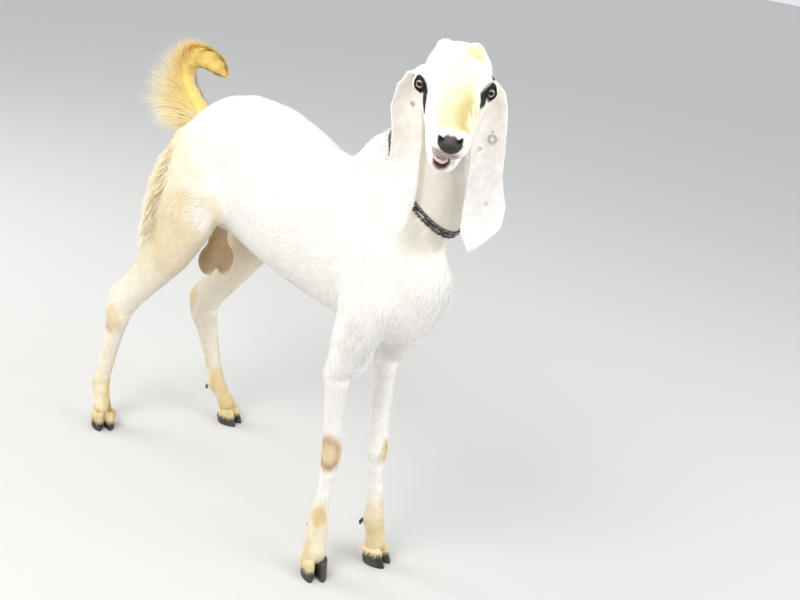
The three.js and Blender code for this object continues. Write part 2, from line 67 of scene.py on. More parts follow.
def unit(v):
    v = np.asarray(v, float)
    return v / np.maximum(np.linalg.norm(v, axis=-1, keepdims=True), 1e-12)


HEAD_AXES = rotation("z", -42.6) @ rotation("y", 33) @ rotation("x", 2.5)
EYE_IN_HEAD_MM = np.array([1.0, 42.5, 8.0])


def centre_of(node):
    low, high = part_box(node)
    return np.array((low + high) / 2)


EYES = {side: centre_of("eye_" + side) for side in ("left", "right")}
HEAD = (EYES["left"] + EYES["right"]) / 2 - HEAD_AXES @ (EYE_IN_HEAD_MM * (1, 0, 1)) * MM
STAND = HEAD - np.array([118, -68, 853]) * MM


def place(x, y, z):
    """A point given in mm from the spot midway between the front feet: x forward, y to the left, z up."""
    return STAND + np.array([x, y, z]) * MM


def on_head(x, y, z):
    """A point given in mm in the head's own frame: x to the muzzle, y to the left, z out of the forehead."""
    return HEAD + HEAD_AXES @ np.array([x, y, z]) * MM


def stand_mm(points):
    return (points - STAND) / MM


def head_mm(points):
    return (points - HEAD) @ HEAD_AXES / MM


def smoothstep(low, high, x):
    t = np.clip((x - low) / (high - low), 0, 1)
    return t * t * (3 - 2 * t)


def bump(x, centre, width):
    return np.exp(-0.5 * ((x - centre) / width) ** 2)


COLLAR_CENTRE = place(29, -4, 697)
COLLAR_AXIS = unit([0.6, -0.06, 0.78])
# The skins of the body and of the head each run this far past the collar's middle.
COLLAR_OVERLAP = 3 * MM


# ---- distance fields on a regular grid, negative inside ----
def triangles_of(node):
    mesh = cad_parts[node].data
    points = np.zeros(len(mesh.vertices) * 3, np.float32)
    mesh.vertices.foreach_get("co", points)
    mesh.calc_loop_triangles()
    corners = np.zeros(len(mesh.loop_triangles) * 3, np.int32)
    mesh.loop_triangles.foreach_get("vertices", corners)
    return points.reshape(-1, 3), corners.reshape(-1, 3).astype(np.uint32)


class Field:
    """Signed distances at the corners of a grid of cubes."""

    def __init__(self, low, high, voxel):
        self.voxel = voxel
        self.start = np.floor(np.asarray(low) / voxel).astype(int)
        self.shape = tuple(np.ceil(np.asarray(high) / voxel).astype(int) - self.start + 1)
        self.values = np.full(self.shape, 1.0, np.float32)
        self.transform = vdb.createLinearTransform(voxelSize=voxel)

    def axes(self):
        """The grid's coordinates, ready to broadcast."""
        x, y, z = [(self.start[i] + np.arange(self.shape[i])) * self.voxel for i in range(3)]
        return x[:, None, None], y[None, :, None], z[None, None, :]

    def rasterised(self, points, triangles=None, quads=None, reach=3):
        faces = {"triangles": triangles} if quads is None else {"quads": quads}
        grid = vdb.FloatGrid.createLevelSetFromPolygons(
            points, transform=self.transform, halfWidth=reach, **faces
        )
        values = np.empty(self.shape, np.float32)
        grid.copyToArray(values, ijk=tuple(int(i) for i in self.start))
        return values

    def surface(self, level=0.0):
        grid = vdb.FloatGrid(1.0)
        grid.copyFromArray(self.values, ijk=tuple(int(i) for i in self.start), tolerance=0)
        grid.transform = self.transform
        return grid.convertToQuads(isovalue=level)

    def blurred(self, sigma):
        reach = int(math.ceil(2.6 * sigma / self.voxel))
        weights = np.exp(-0.5 * (np.arange(-reach, reach + 1) * self.voxel / sigma) ** 2)
        weights = (weights / weights.sum()).astype(np.float32)
        out = self.values
        for axis in range(3):
            padding = [(0, 0)] * 3
            padding[axis] = (reach, reach)
            padded = np.pad(out, padding, mode="edge")
            size = out.shape[axis]
            total = np.zeros_like(out)
            for k, weight in enumerate(weights):
                part = [slice(None)] * 3
                part[axis] = slice(k, k + size)
                total += weight * padded[tuple(part)]
            out = total
        return out

    def window(self, centre, reach):
        """The part of the grid within reach of a point: its slices and its coordinates from that point."""
        low = np.maximum(np.floor((centre - reach) / self.voxel).astype(int) - self.start, 0)
        high = np.minimum(np.ceil((centre + reach) / self.voxel).astype(int) - self.start + 1, self.shape)
        part = tuple(slice(int(a), int(b)) for a, b in zip(low, high))
        offsets = [
            (self.start[i] + np.arange(low[i], high[i])) * self.voxel - centre[i] for i in range(3)
        ]
        grid = np.meshgrid(*offsets, indexing="ij")
        return part, np.stack(grid, -1)

    def at(self, points):
        """Trilinear values at points."""
        g = np.asarray(points) / self.voxel - self.start
        g = np.clip(g, 0, np.array(self.shape) - 1.001)
        i = g.astype(int)
        f = g - i
        total = 0
        for corner in range(8):
            d = [(corner >> axis) & 1 for axis in range(3)]
            weight = np.prod([f[:, a] if d[a] else 1 - f[:, a] for a in range(3)], axis=0)
            total = total + weight * self.values[i[:, 0] + d[0], i[:, 1] + d[1], i[:, 2] + d[2]]
        return total

    def gradient(self, points):
        step = self.voxel * 0.75
        slopes = []
        for axis in range(3):
            shift = np.zeros(3)
            shift[axis] = step
            slopes.append(self.at(points + shift) - self.at(points - shift))
        return unit(np.stack(slopes, -1))


def smooth_min(a, b, k):
    h = np.maximum(k - np.abs(a - b), 0) / k
    return np.minimum(a, b) - h * h * k / 4


def smooth_max(a, b, k):
    return -smooth_min(-a, -b, k)


def union_field(nodes, low, high, voxel, reach):
    """The outer distance of several nodes as one body: the thin gaps between them are closed."""
    field = Field(low, high, voxel)
    owner = np.zeros(field.shape, np.int8)
    for number, node in enumerate(nodes):
        values = field.rasterised(*triangles_of(node))
        nearer = values < field.values
        owner[nearer] = number
        field.values = np.minimum(field.values, values)
    closing = 1.2 * MM
    points, quads = field.surface(closing)
    field.values = field.rasterised(points, quads=quads, reach=reach) + closing
    return field, owner


def swell(field, centre, size, height, axes=np.eye(3)):
    """Raises the surface by height round a point; a negative height makes a hollow."""
    part, offset = field.window(centre, 3 * np.max(size))
    field.values[part] -= height * np.exp(-0.5 * ((offset @ axes / size) ** 2).sum(-1))


def swell_on_body(field, centre_mm, size_mm, height_mm):
    swell(field, place(*centre_mm), np.array(size_mm) * MM, height_mm * MM)


def swell_on_head(field, centre_mm, size_mm, height_mm):
    swell(field, on_head(*centre_mm), np.array(size_mm) * MM, height_mm * MM, HEAD_AXES)


def swell_line(field, start, end, width, height):
    """Raises a ridge, or sinks a groove, along a straight line."""
    middle, half = (start + end) / 2, np.linalg.norm(end - start) / 2
    part, offset = field.window(middle, half + 3 * width)
    along = unit(end - start)
    t = offset @ along
    past = np.maximum(np.abs(t) - half, 0)
    across = (offset**2).sum(-1) - t**2
    field.values[part] -= height * np.exp(-0.5 * (across + past**2) / width**2)


def box_of(nodes, margin):
    corners = np.array([[*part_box(node)[0], *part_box(node)[1]] for node in nodes])
    return corners[:, :3].min(0) - margin, corners[:, 3:].max(0) + margin


# ---- the skin of the body ----
LEGS = ["foreleg_left", "foreleg_right", "hindleg_left", "hindleg_right"]
BODY_NODES = ["trunk", "neck", *LEGS, "scrotum", "collar"]
BODY_VOXEL = 3.6 * MM
# The CAD's facets are smoothed by so much on the lower legs, on the upper legs and on the trunk.
BODY_SMOOTHING = 3.2 * MM, 7 * MM, 12 * MM
TAIL_BLEND = 14 * MM
# Points along the middle of the tail and its radius there, without hair: forward, left, up and radius in mm.
TAIL_LINE = [
    (-520, 1, 606, 22),
    (-546, 0, 632, 15),
    (-572, 0, 648, 13),
    (-600, -2, 668, 11),
    (-621, -4, 690, 9.5),
    (-630, -4, 712, 11),
    (-620, -3, 732, 13),
    (-597, -2, 744, 14),
    (-568, 0, 746, 13),
    (-543, 1, 741, 10.5),
    (-521, 2, 733, 6),
]
TAIL_CORE = np.array([place(*row[:3]) for row in TAIL_LINE])
TAIL_RADII = np.array([row[3] for row in TAIL_LINE]) * MM


def chain_distance(field, points, radii, blend):
    """Adds a tapering tube along points."""
    for a, b, ra, rb in zip(points, points[1:], radii, radii[1:]):
        middle, half = (a + b) / 2, np.linalg.norm(b - a) / 2
        part, offset = field.window(middle, half + max(ra, rb) + 6 * field.voxel)
        along = unit(b - a)
        t = np.clip(offset @ along, -half, half)
        distance = np.linalg.norm(offset - t[..., None] * along, axis=-1)
        radius = ra + (rb - ra) * (t + half) / (2 * half)
        field.values[part] = smooth_min(field.values[part], (distance - radius).astype(np.float32), blend)


def body_skin():
    """The body under its coat, with the tail's core, and which node each part of it came from."""
    low, high = box_of(BODY_NODES + ["tail"], 30 * MM)
    field, owner = union_field(BODY_NODES, low, high, BODY_VOXEL, reach=12)
    x, _, z = [(c - s) / MM for c, s in zip(field.axes(), STAND)]

    fine, middle, wide = [field.blurred(sigma) for sigma in BODY_SMOOTHING]
    up = smoothstep(300, 430, z)
    higher = smoothstep(420, 520, z)
    field.values = fine + (middle - fine) * up + (wide - middle) * higher * up

    # The coat is thin on the legs, deeper on the trunk and deepest behind the thighs.
    legs = 1.8 + 1.4 * smoothstep(240, 420, z)
    depth = legs + (4.2 - legs) * smoothstep(380, 500, z)
    rear_thigh = smoothstep(-560, -640, x) * smoothstep(300, 380, z) * smoothstep(640, 560, z)
    depth = depth + 5 * rear_thigh
    field.values += (depth * MM).astype(np.float32)

    sculpt_body(field)
    chain_distance(field, TAIL_CORE, TAIL_RADII, TAIL_BLEND)
    claws_and_collar(field)
    return field, owner


# Two small nubs in front of the scrotum.
NUBS_MM = [(-458, -22, 371), (-464, 14, 367)]
RIBS = 6


def sculpt_body(field):
    """Bones and muscles that show through the coat."""
    for side in (1, -1):
        swell_on_body(field, (8, side * 62, 500), (22, 20, 24), 4)
        swell_line(field, place(-60, side * 62, 640), place(-8, side * 74, 540), 9 * MM, 2.5 * MM)
        swell_on_body(field, (-120, side * 92, 560), (26, 30, 50), -3)
        swell_on_body(field, (-430, side * 58, 640), (30, 14, 16), 4)
        swell_on_body(field, (-560, side * 48, 610), (16, 16, 16), 4)
        swell_on_body(field, (-392, side * 92, 560), (34, 26, 44), -5)
        for rib in range(RIBS):
            foot = place(-330 + 36 * rib, side * 112, 470)
            top = place(-300 + 36 * rib, side * 92, 590)
            swell_line(field, foot, top, 7 * MM, 0.9 * MM)
    for nub in NUBS_MM:
        swell_on_body(field, nub, (8, 8, 7), 4)


# How high above the floor the hair ends on each claw.
HAIRLINE_MM = {
    "claw_fore_right_outer": 17,
    "claw_fore_right_inner": 34,
    "claw_fore_left_outer": 19,
    "claw_fore_left_inner": 24,
    "claw_hind_right_outer": 17,
    "claw_hind_right_inner": 15,
    "claw_hind_left_outer": 19,
    "claw_hind_left_inner": 18,
}


def claws_and_collar(field):
    """The skin runs down over the tops of the claws, and ends in a flat under the collar."""
    for node, height in HAIRLINE_MM.items():
        low, high = [np.array(corner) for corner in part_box(node)]
        sock = Field(low - 12 * MM, high + 12 * MM, field.voxel / 2)
        sock.values = sock.rasterised(*triangles_of(node), reach=6)
        z = sock.axes()[2]
        sock.values = np.maximum(sock.values - 1.5 * MM, (height * MM - z).astype(np.float32))
        part, offset = field.window((low + high) / 2, np.linalg.norm(high - low) / 2 + 6 * MM)
        places = (offset + (low + high) / 2).reshape(-1, 3)
        near = sock.at(places).reshape(field.values[part].shape)
        field.values[part] = smooth_min(field.values[part], near.astype(np.float32), 5 * MM)
    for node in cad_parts:
        if node.startswith("dewclaw_"):
            swell(field, centre_of(node) + [0, 0, 2 * MM], [8 * MM, 8 * MM, 9 * MM], 4.5 * MM)
    offset, along = from_collar(field)
    near = sum(c**2 for c in offset) < (150 * MM) ** 2
    cut = np.maximum(field.values, along - COLLAR_OVERLAP)
    field.values = np.where(near, cut, field.values).astype(np.float32)


def from_collar(field):
    """The grid's coordinates from the collar's middle, and how far they lie along its axis."""
    offset = [c - middle for c, middle in zip(field.axes(), COLLAR_CENTRE)]
    return offset, sum(c * a for c, a in zip(offset, COLLAR_AXIS))


# ---- the skin of the head ----
HEAD_VOXEL = 1.35 * MM
# The facets are smoothed by so much on the muzzle and on the rest of the head.
HEAD_SMOOTHING = 2.2 * MM, 4.6 * MM
EYE_CENTRE = {"left": (2.4, 43.2, 5.9), "right": (0.9, -44.8, 4.3)}
GAZE = {"left": unit([0.82, 0.25, 0.51]), "right": unit([0.80, -0.35, 0.49])}
LID_MIDDLE = {"left": unit([0.80, 0.34, 0.47]), "right": unit([0.79, -0.42, 0.44])}
# Radii of the eyeball and of the lids over it, and half the length of the lids' opening.
EYE_MM = 12.6
LID_MM = 13.7
LID_HALF_MM = 10.0


def lid_frame(side):
    """Axes of the lids' opening in the head's frame: out of the eye, forward along it, and up across it."""
    out = LID_MIDDLE[side]
    forward = unit(np.array([0.80, 0, -0.36]) - out * np.dot(out, [0.80, 0, -0.36]))
    return out, forward, np.cross(out, forward) * (1 if side == "right" else -1)


def lid_distance(side, points_mm):
    """In mm: how far points are from the lids' almond edge, from the eye's plane and from its middle."""
    out, forward, up = lid_frame(side)
    offset = points_mm - np.array(EYE_CENTRE[side])
    length, height, depth = offset @ forward, offset @ up, offset @ out
    slim = np.clip(1 - (length / LID_HALF_MM) ** 2, 0, 1) ** 0.8
    upper, lower = 5.6 * slim, -5.0 * slim
    edge = np.maximum(height - upper, lower - height)
    past = np.abs(length) - LID_HALF_MM
    edge = np.where(past > 0, np.hypot(past, height), edge)
    return edge, depth, np.linalg.norm(offset, axis=-1)


# A reach in metres that is past every end of the head's grid.
WHOLE_GRID = 2.0


def head_skin():
    """The head down to the collar with the ears, and the ears' own field."""
    low, high = box_of(["head", "ear_left", "ear_right", "collar"], 12 * MM)
    nodes = ["head", "tongue", "eye_left", "eye_right", "neck", "collar"]
    field, _ = union_field(nodes, low, high, HEAD_VOXEL, reach=14)
    fine, broad = [field.blurred(sigma) for sigma in HEAD_SMOOTHING]
    _, offset = field.window(HEAD, WHOLE_GRID)
    along = (offset @ HEAD_AXES / MM)[..., 0]
    field.values = broad + (fine - broad) * smoothstep(78, 100, along)
    depth = 1.0 + 1.6 * smoothstep(70, -20, along) + 1.4 * smoothstep(-50, -90, along)
    field.values += (depth * MM).astype(np.float32)
    sculpt_head(field)
    for side in EYE_CENTRE:
        open_lids(field, side)
    open_mouth(field)
    below = -COLLAR_OVERLAP - from_collar(field)[1]
    field.values = np.maximum(field.values, below.astype(np.float32))
    ears = ear_field(low, high)
    field.values = smooth_min(field.values, ears.values, 7 * MM)
    return field, ears


def ear_field(low, high):
    ears = Field(low, high, HEAD_VOXEL)
    for side in ("left", "right"):
        ears.values = np.minimum(ears.values, ears.rasterised(*triangles_of("ear_" + side), reach=8))
    ears.values = ears.blurred(1.3 * MM) - np.float32(0.2 * MM)
    return ears


# The nose lies a little to the goat's right of the head's middle.
NOSE_MM = -1.2


def sculpt_head(field):
    """Brows, hollows and cheekbones, the nose and the chin."""
    for side in (1, -1):
        swell_on_head(field, (-4, side * 36, 27), (13, 7, 5), 2.6)
        swell_on_head(field, (-30, side * 42, 12), (10, 6, 8), -3.0)
        swell_on_head(field, (34, side * 34, 2), (9, 6, 8), -2.4)
        swell_on_head(field, (30, side * 42, -6), (16, 6, 7), 3.0)
        swell_on_head(field, (-12, side * 40, -32), (18, 10, 16), 2.4)
        swell_on_head(field, (70, side * 26, 10), (12, 6, 6), -1.6)
        swell_on_head(field, (98, side * 17, 9), (7, 5, 5), 2.2)
        swell_on_head(field, (104, side * 15, -10), (8, 7, 6), 2.2)
        swell_on_head(field, (92, side * 20, -28), (10, 6, 7), 1.4)
    swell_on_head(field, (40, 0, 38), (26, 9, 6), 2.0)
    swell_on_head(field, (102, -4, -44), (8, 12, 6), 2.0)
    # The nostrils are commas that curl back and out, and a groove parts the upper lip.
    for side in (1, -1):
        swell_on_head(field, (107, NOSE_MM + side * 10.5, 7.5), (4.2, 2.6, 2.2), -5.5)
        swell_on_head(field, (103, NOSE_MM + side * 14.5, 9.5), (3.6, 2.6, 1.7), -4.5)
        swell_on_head(field, (106, NOSE_MM + side * 11, 12.5), (4, 4, 1.8), 1.4)
        swell_on_head(field, (108, NOSE_MM + side * 13, 2.5), (3, 3, 2.2), 1.0)
    swell_line(field, on_head(112, -1, 6), on_head(115, 0.5, -12), 1.3 * MM, -1.6 * MM)


def open_lids(field, side):
    """A lid over the eyeball, an almond opening in it, and a rim round the opening."""
    centre = on_head(*EYE_CENTRE[side])
    part, offset = field.window(centre, 26 * MM)
    local = offset @ HEAD_AXES / MM + np.array(EYE_CENTRE[side])
    edge, depth, radius = lid_distance(side, local)
    out = np.clip(depth / 10, 0, 1)
    lids = (radius - LID_MM).astype(np.float32) * MM
    values = smooth_min(field.values[part], lids, 5 * MM)
    rim = 0.7 * bump(edge, 1.3, 1.0) * out
    crease = -0.8 * bump(edge, 4.6, 1.2) * out
    values = values - ((rim + crease) * MM).astype(np.float32)
    hole = np.maximum(edge, np.maximum(11.0 - radius, 2 - depth)) * MM
    field.values[part] = smooth_max(values, -hole.astype(np.float32), 0.9 * MM)


MOUTH_MM = (114, -8, -28)
MOUTH_HALF_MM = (26, 18, 11.5)


def mouth_gap(offset_mm):
    """Distance from the mouth's edge, negative in the mouth, of places given from its middle."""
    local = offset_mm @ rotation("x", 14)
    return (np.sqrt(((local / MOUTH_HALF_MM) ** 2).sum(-1)) - 1) * min(MOUTH_HALF_MM)


def open_mouth(field):
    """The mouth stands a little open between full lips."""
    part, offset = field.window(on_head(*MOUTH_MM), 34 * MM)
    hole = mouth_gap(offset @ HEAD_AXES / MM) * MM
    lips = 1.2 * bump(hole / MM, 1.6, 1.4)
    values = field.values[part] - (lips * MM).astype(np.float32)
    field.values[part] = smooth_max(values, -hole.astype(np.float32), 1.6 * MM)


# ---- meshes ----
def mesh_object(name, points, faces, normals=None):
    """A smooth mesh of triangles or quads."""
    mesh = bpy.data.meshes.new(name)
    sides = faces.shape[1]
    mesh.vertices.add(len(points))
    mesh.vertices.foreach_set("co", np.ascontiguousarray(points, np.float32).ravel())
    mesh.loops.add(faces.size)
    mesh.loops.foreach_set("vertex_index", np.ascontiguousarray(faces, np.int32).ravel())
    mesh.polygons.add(len(faces))
    mesh.polygons.foreach_set("loop_start", np.arange(0, faces.size, sides, dtype=np.int32))
    mesh.update(calc_edges=True)
    mesh.polygons.foreach_set("use_smooth", np.ones(len(faces), bool))
    if normals is not None:
        mesh.normals_split_custom_set_from_vertices(normals.astype(np.float32))
    obj = bpy.data.objects.new(name, mesh)
    bpy.context.scene.collection.objects.link(obj)
    return obj


# ---- the skin as one mesh, with what the coat needs to know at each point ----
BODY, HEAD_PART, EAR, TAIL, SCROTUM = range(5)


class Skin:
    """Points, normals and quads of the skin, and the region of each point."""

    def __init__(self, fields, ear_distance, owner):
        parts = [field.surface() for field in fields]
        self.points = np.vstack([points for points, _ in parts]).astype(float)
        starts = np.cumsum([0] + [len(points) for points, _ in parts])
        self.quads = np.vstack([quads.astype(int) + start for (_, quads), start in zip(parts, starts)])
        self.normals = np.vstack([f.gradient(points.astype(float)) for f, (points, _) in zip(fields, parts)])
        body = np.arange(len(self.points)) < starts[1]
        self.region = np.where(body, BODY, HEAD_PART)
        gap, along, _, _ = tail_place(self.points)
        clear = (along > 0.11) & (stand_mm(self.points)[:, 2] > 622)
        self.region[body & (gap < 9) & clear] = TAIL
        bag = node_at(fields[0], owner, self.points) == BODY_NODES.index("scrotum")
        self.region[body & bag] = SCROTUM
        ear = ear_distance.at(self.points) < 2.2 * MM
        self.region[~body & ear] = EAR

    def triangles(self, region):
        """The triangles whose corners all lie in a region."""
        q = self.quads
        triangles = np.vstack([q[:, [0, 1, 2]], q[:, [0, 2, 3]]])
        return triangles[(self.region[triangles] == region).all(1)]


def node_at(field, owner, points):
    """The number of the CAD node whose surface is nearest."""
    g = np.rint(points / field.voxel - field.start).astype(int)
    g = np.clip(g, 0, np.array(field.shape) - 1)
    return owner[g[:, 0], g[:, 1], g[:, 2]]


def tail_place(points):
    """How far points are from the tail's core in mm, how far along it, the way out of it and the way on."""
    best = np.full(len(points), 1e9)
    along = np.zeros(len(points))
    outward = np.zeros((len(points), 3))
    onward = np.zeros((len(points), 3))
    tangents = unit(np.gradient(TAIL_CORE, axis=0))
    for i in range(len(TAIL_CORE) - 1):
        a, b = TAIL_CORE[i], TAIL_CORE[i + 1]
        span = b - a
        t = np.clip((points - a) @ span / (span @ span), 0, 1)
        away = points - (a + t[:, None] * span)
        distance = np.linalg.norm(away, axis=-1)
        gap = (distance - (TAIL_RADII[i] + t * (TAIL_RADII[i + 1] - TAIL_RADII[i]))) / MM
        nearer = gap < best
        best = np.where(nearer, gap, best)
        along = np.where(nearer, (i + t) / (len(TAIL_CORE) - 1), along)
        outward[nearer] = away[nearer]
        onward[nearer] = (tangents[i] + t[:, None] * (tangents[i + 1] - tangents[i]))[nearer]
    onward = unit(onward)
    outward = unit(outward - onward * (outward * onward).sum(-1)[:, None])
    return best, along, outward, onward


# ---- markings, the same for skin and coat ----
WHITE = np.array([0.90, 0.885, 0.85])
CREAM = np.array([0.86, 0.76, 0.52])
GOLD = np.array([0.72, 0.46, 0.13])
STRAW = np.array([0.71, 0.54, 0.23])
PALE_STRAW = np.array([0.84, 0.71, 0.40])
BUFF = np.array([0.82, 0.73, 0.37])
# Partly the stripe's own deeper gold, partly painted shade on the left of the face.
DEEP_BUFF_AND_SHADE = np.array([0.54, 0.45, 0.17])
# Painted shade on the left side of the face.
FACE_SHADE_TINT = np.array([0.80, 0.72, 0.56])
TAN = np.array([0.54, 0.36, 0.15])
BROWN = np.array([0.42, 0.27, 0.12])
BAG_BROWN = np.array([0.46, 0.32, 0.18])
NUB_BROWN = np.array([0.64, 0.51, 0.33])
BLACK = np.array([0.012, 0.011, 0.011])
PINK = np.array([0.78, 0.56, 0.50])
GREY = np.array([0.30, 0.29, 0.29])
EAR_WHITE = np.array([0.97, 0.965, 0.96])
EAR_GREY = np.array([0.12, 0.13, 0.15])
NOSE_BLACK = np.array([0.020, 0.016, 0.017])
# A painted highlight on the nose.
NOSE_PAINTED_HIGHLIGHT = np.array([0.055, 0.045, 0.048])
LIP_GREY = np.array([0.24, 0.17, 0.165])
# Painted shade inside the open mouth.
MOUTH_SHADE_RED = np.array([0.05, 0.018, 0.017])
SKIN_SHADE = np.array([0.97, 0.93, 0.89])


def ripple(points, size, seed):
    """Smooth noise from -1 to 1 with features of about size."""
    rng = np.random.default_rng(seed)
    total = np.zeros(len(points))
    for _ in range(5):
        way = unit(rng.normal(size=3))
        total += np.sin(points @ way * (2 * math.pi / size * rng.uniform(0.6, 1.5)) + rng.uniform(0, 6.28))
    return np.clip(total / 2.6, -1, 1)


def blend(colours, other, weight):
    return colours + (other - colours) * np.clip(weight, 0, 1)[:, None]


def spot(points_mm, centre, size):
    """A soft round patch: 1 in the middle, 0 outside, in the units of points_mm."""
    offset = (points_mm - np.array(centre)) / np.array(size)
    return smoothstep(1.25, 0.75, np.linalg.norm(offset, axis=-1))


def streak(points_mm, start, end, width_start, width_end):
    """A soft tapering stripe between two points."""
    start, end = np.array(start, float), np.array(end, float)
    span = end - start
    t = np.clip((points_mm - start) @ span / (span @ span), 0, 1)
    away = np.linalg.norm(points_mm - (start + t[:, None] * span), axis=-1)
    width = width_start + (width_end - width_start) * t
    return smoothstep(1.3, 0.7, away / width)


KNEE_MM = (-7, -76, 238)
# Stains on the legs: middle and half size in mm, colour and strength.
LEG_MARKS = [
    (KNEE_MM, (26, 20, 32), STRAW, 0.75),
    ((-4, -78, 246), (6, 6, 8), BROWN, 0.8),
    ((-8, -78, 214), (17, 16, 7), BROWN, 0.45),
    ((10, 42, 224), (17, 15, 26), STRAW, 0.8),
    ((14, 46, 226), (12, 11, 18), BROWN, 0.65),
    ((-13, -72, 112), (20, 16, 20), STRAW, 0.9),
    ((-22, -80, 66), (16, 12, 26), STRAW, 0.55),
    ((6, 44, 96), (24, 20, 30), STRAW, 0.4),
    ((12, 44, 62), (22, 20, 16), STRAW, 0.65),
    ((-610, -132, 240), (30, 22, 26), STRAW, 0.6),
    ((-622, -132, 214), (17, 16, 9), BROWN, 0.5),
    ((-618, -114, 60), (18, 14, 44), STRAW, 0.85),
    ((-614, -110, 40), (12, 12, 22), BROWN, 0.5),
    ((-644, -122, 92), (20, 20, 14), STRAW, 0.4),
    ((-604, 44, 262), (16, 18, 26), STRAW, 0.6),
    ((-548, 96, 92), (22, 24, 30), STRAW, 0.75),
    ((-530, 106, 50), (22, 24, 22), STRAW, 0.8),
]


def hair_colours(points, region):
    """The colour of the hair that grows at each point."""
    mm, head = stand_mm(points), head_mm(points)
    rough, fine = ripple(points, 0.05, 3), ripple(points, 0.012, 4)
    body = (region == BODY) | (region == SCROTUM)
    colours = np.tile(WHITE, (len(points), 1))
    colours = thigh_marks(colours, mm, rough, fine, body)
    colours = leg_marks(colours, mm, rough, fine, body)
    # Painted shade: the front of the neck and the skin under the jaw are tinted cream.
    throat_shade = smoothstep(560, 640, mm[:, 2]) * smoothstep(20, 60, mm[:, 0])
    throat_shade = throat_shade * (body | (region == HEAD_PART) & (head[:, 2] < -50))
    colours = blend(colours, CREAM, 0.3 * throat_shade)

    # The scrotum is brown, with two pale nubs in front of it.
    colours = blend(colours, BAG_BROWN, 0.95 * (region == SCROTUM))
    nubs = np.maximum(*[spot(mm, nub, (10, 9, 8)) for nub in NUBS_MM])
    colours = blend(colours, NUB_BROWN, nubs * (region == SCROTUM))

    on_tail = np.flatnonzero(region == TAIL)
    if len(on_tail):
        _, along, outward, _ = tail_place(points[on_tail])
        colours[on_tail] = 0.85 * tail_colours(along, outward)
    colours = face_marks(colours, head, rough, fine, region == HEAD_PART)
    colours = ear_marks(colours, points, fine, region == EAR)
    return colours * (1 + 0.02 * fine)[:, None]


def thigh_marks(colours, mm, rough, fine, body):
    """The thighs are cream, tan on the outside, paler behind, and gold in the middle under the tail."""
    x, y, z = mm.T
    rear = smoothstep(-370, -500, x + 30 * rough) * smoothstep(270, 400, z) * smoothstep(670, 590, z)
    colours = blend(colours, CREAM, 0.7 * rear * body)
    outer = smoothstep(40, 80, np.abs(y))
    tan = spot(mm + 16 * rough[:, None], (-445, 0, 470), (75, 400, 80)) * outer
    colours = blend(colours, STRAW, 0.55 * tan * (0.75 + 0.25 * fine) * body)
    edge = smoothstep(-490, -545, x + 12 * fine + 10 * rough)
    edge = edge * smoothstep(430, 530, z) * smoothstep(650, 600, z)
    colours = blend(colours, PALE_STRAW, 0.8 * edge * body)
    middle = smoothstep(34, 14, np.abs(y - 4)) * smoothstep(-530, -556, x) * smoothstep(470, 560, z)
    return blend(colours, GOLD, 0.75 * middle * body)


def leg_marks(colours, mm, rough, fine, body):
    """The legs are white down to a straw pastern, with stained knees and hocks, and grey at each elbow from
    dark hair and painted shade.
    """
    x, _, z = mm.T
    colours = blend(colours, CREAM, 0.45 * body * (x < -350) * smoothstep(400, 250, z))
    # Grey at each elbow: dark hair there, and painted shade in its crook.
    elbow_shade = spot(mm, (22, -88, 440), (24, 22, 46)) + spot(mm, (20, 88, 440), (24, 22, 46))
    colours = blend(colours, GREY, 0.26 * elbow_shade * (0.6 + 0.4 * fine) * body)
    stain = smoothstep(170, 80, z + 14 * rough)
    colours = blend(colours, CREAM, 0.75 * stain * body)
    low = smoothstep(60, 28, z + 8 * rough)
    colours = blend(colours, STRAW, 0.75 * low * (0.75 + 0.25 * fine) * body)
    for centre, size, colour, weight in LEG_MARKS:
        patch = spot(mm + 4 * rough[:, None] + 1.5 * fine[:, None], centre, size)
        colours = blend(colours, colour, weight * patch * (0.85 + 0.15 * fine) * body)
    knee = bump(np.linalg.norm((mm - KNEE_MM) / (23, 17, 27), axis=-1), 0.95, 0.24)
    return blend(colours, TAN, 0.8 * knee * body)


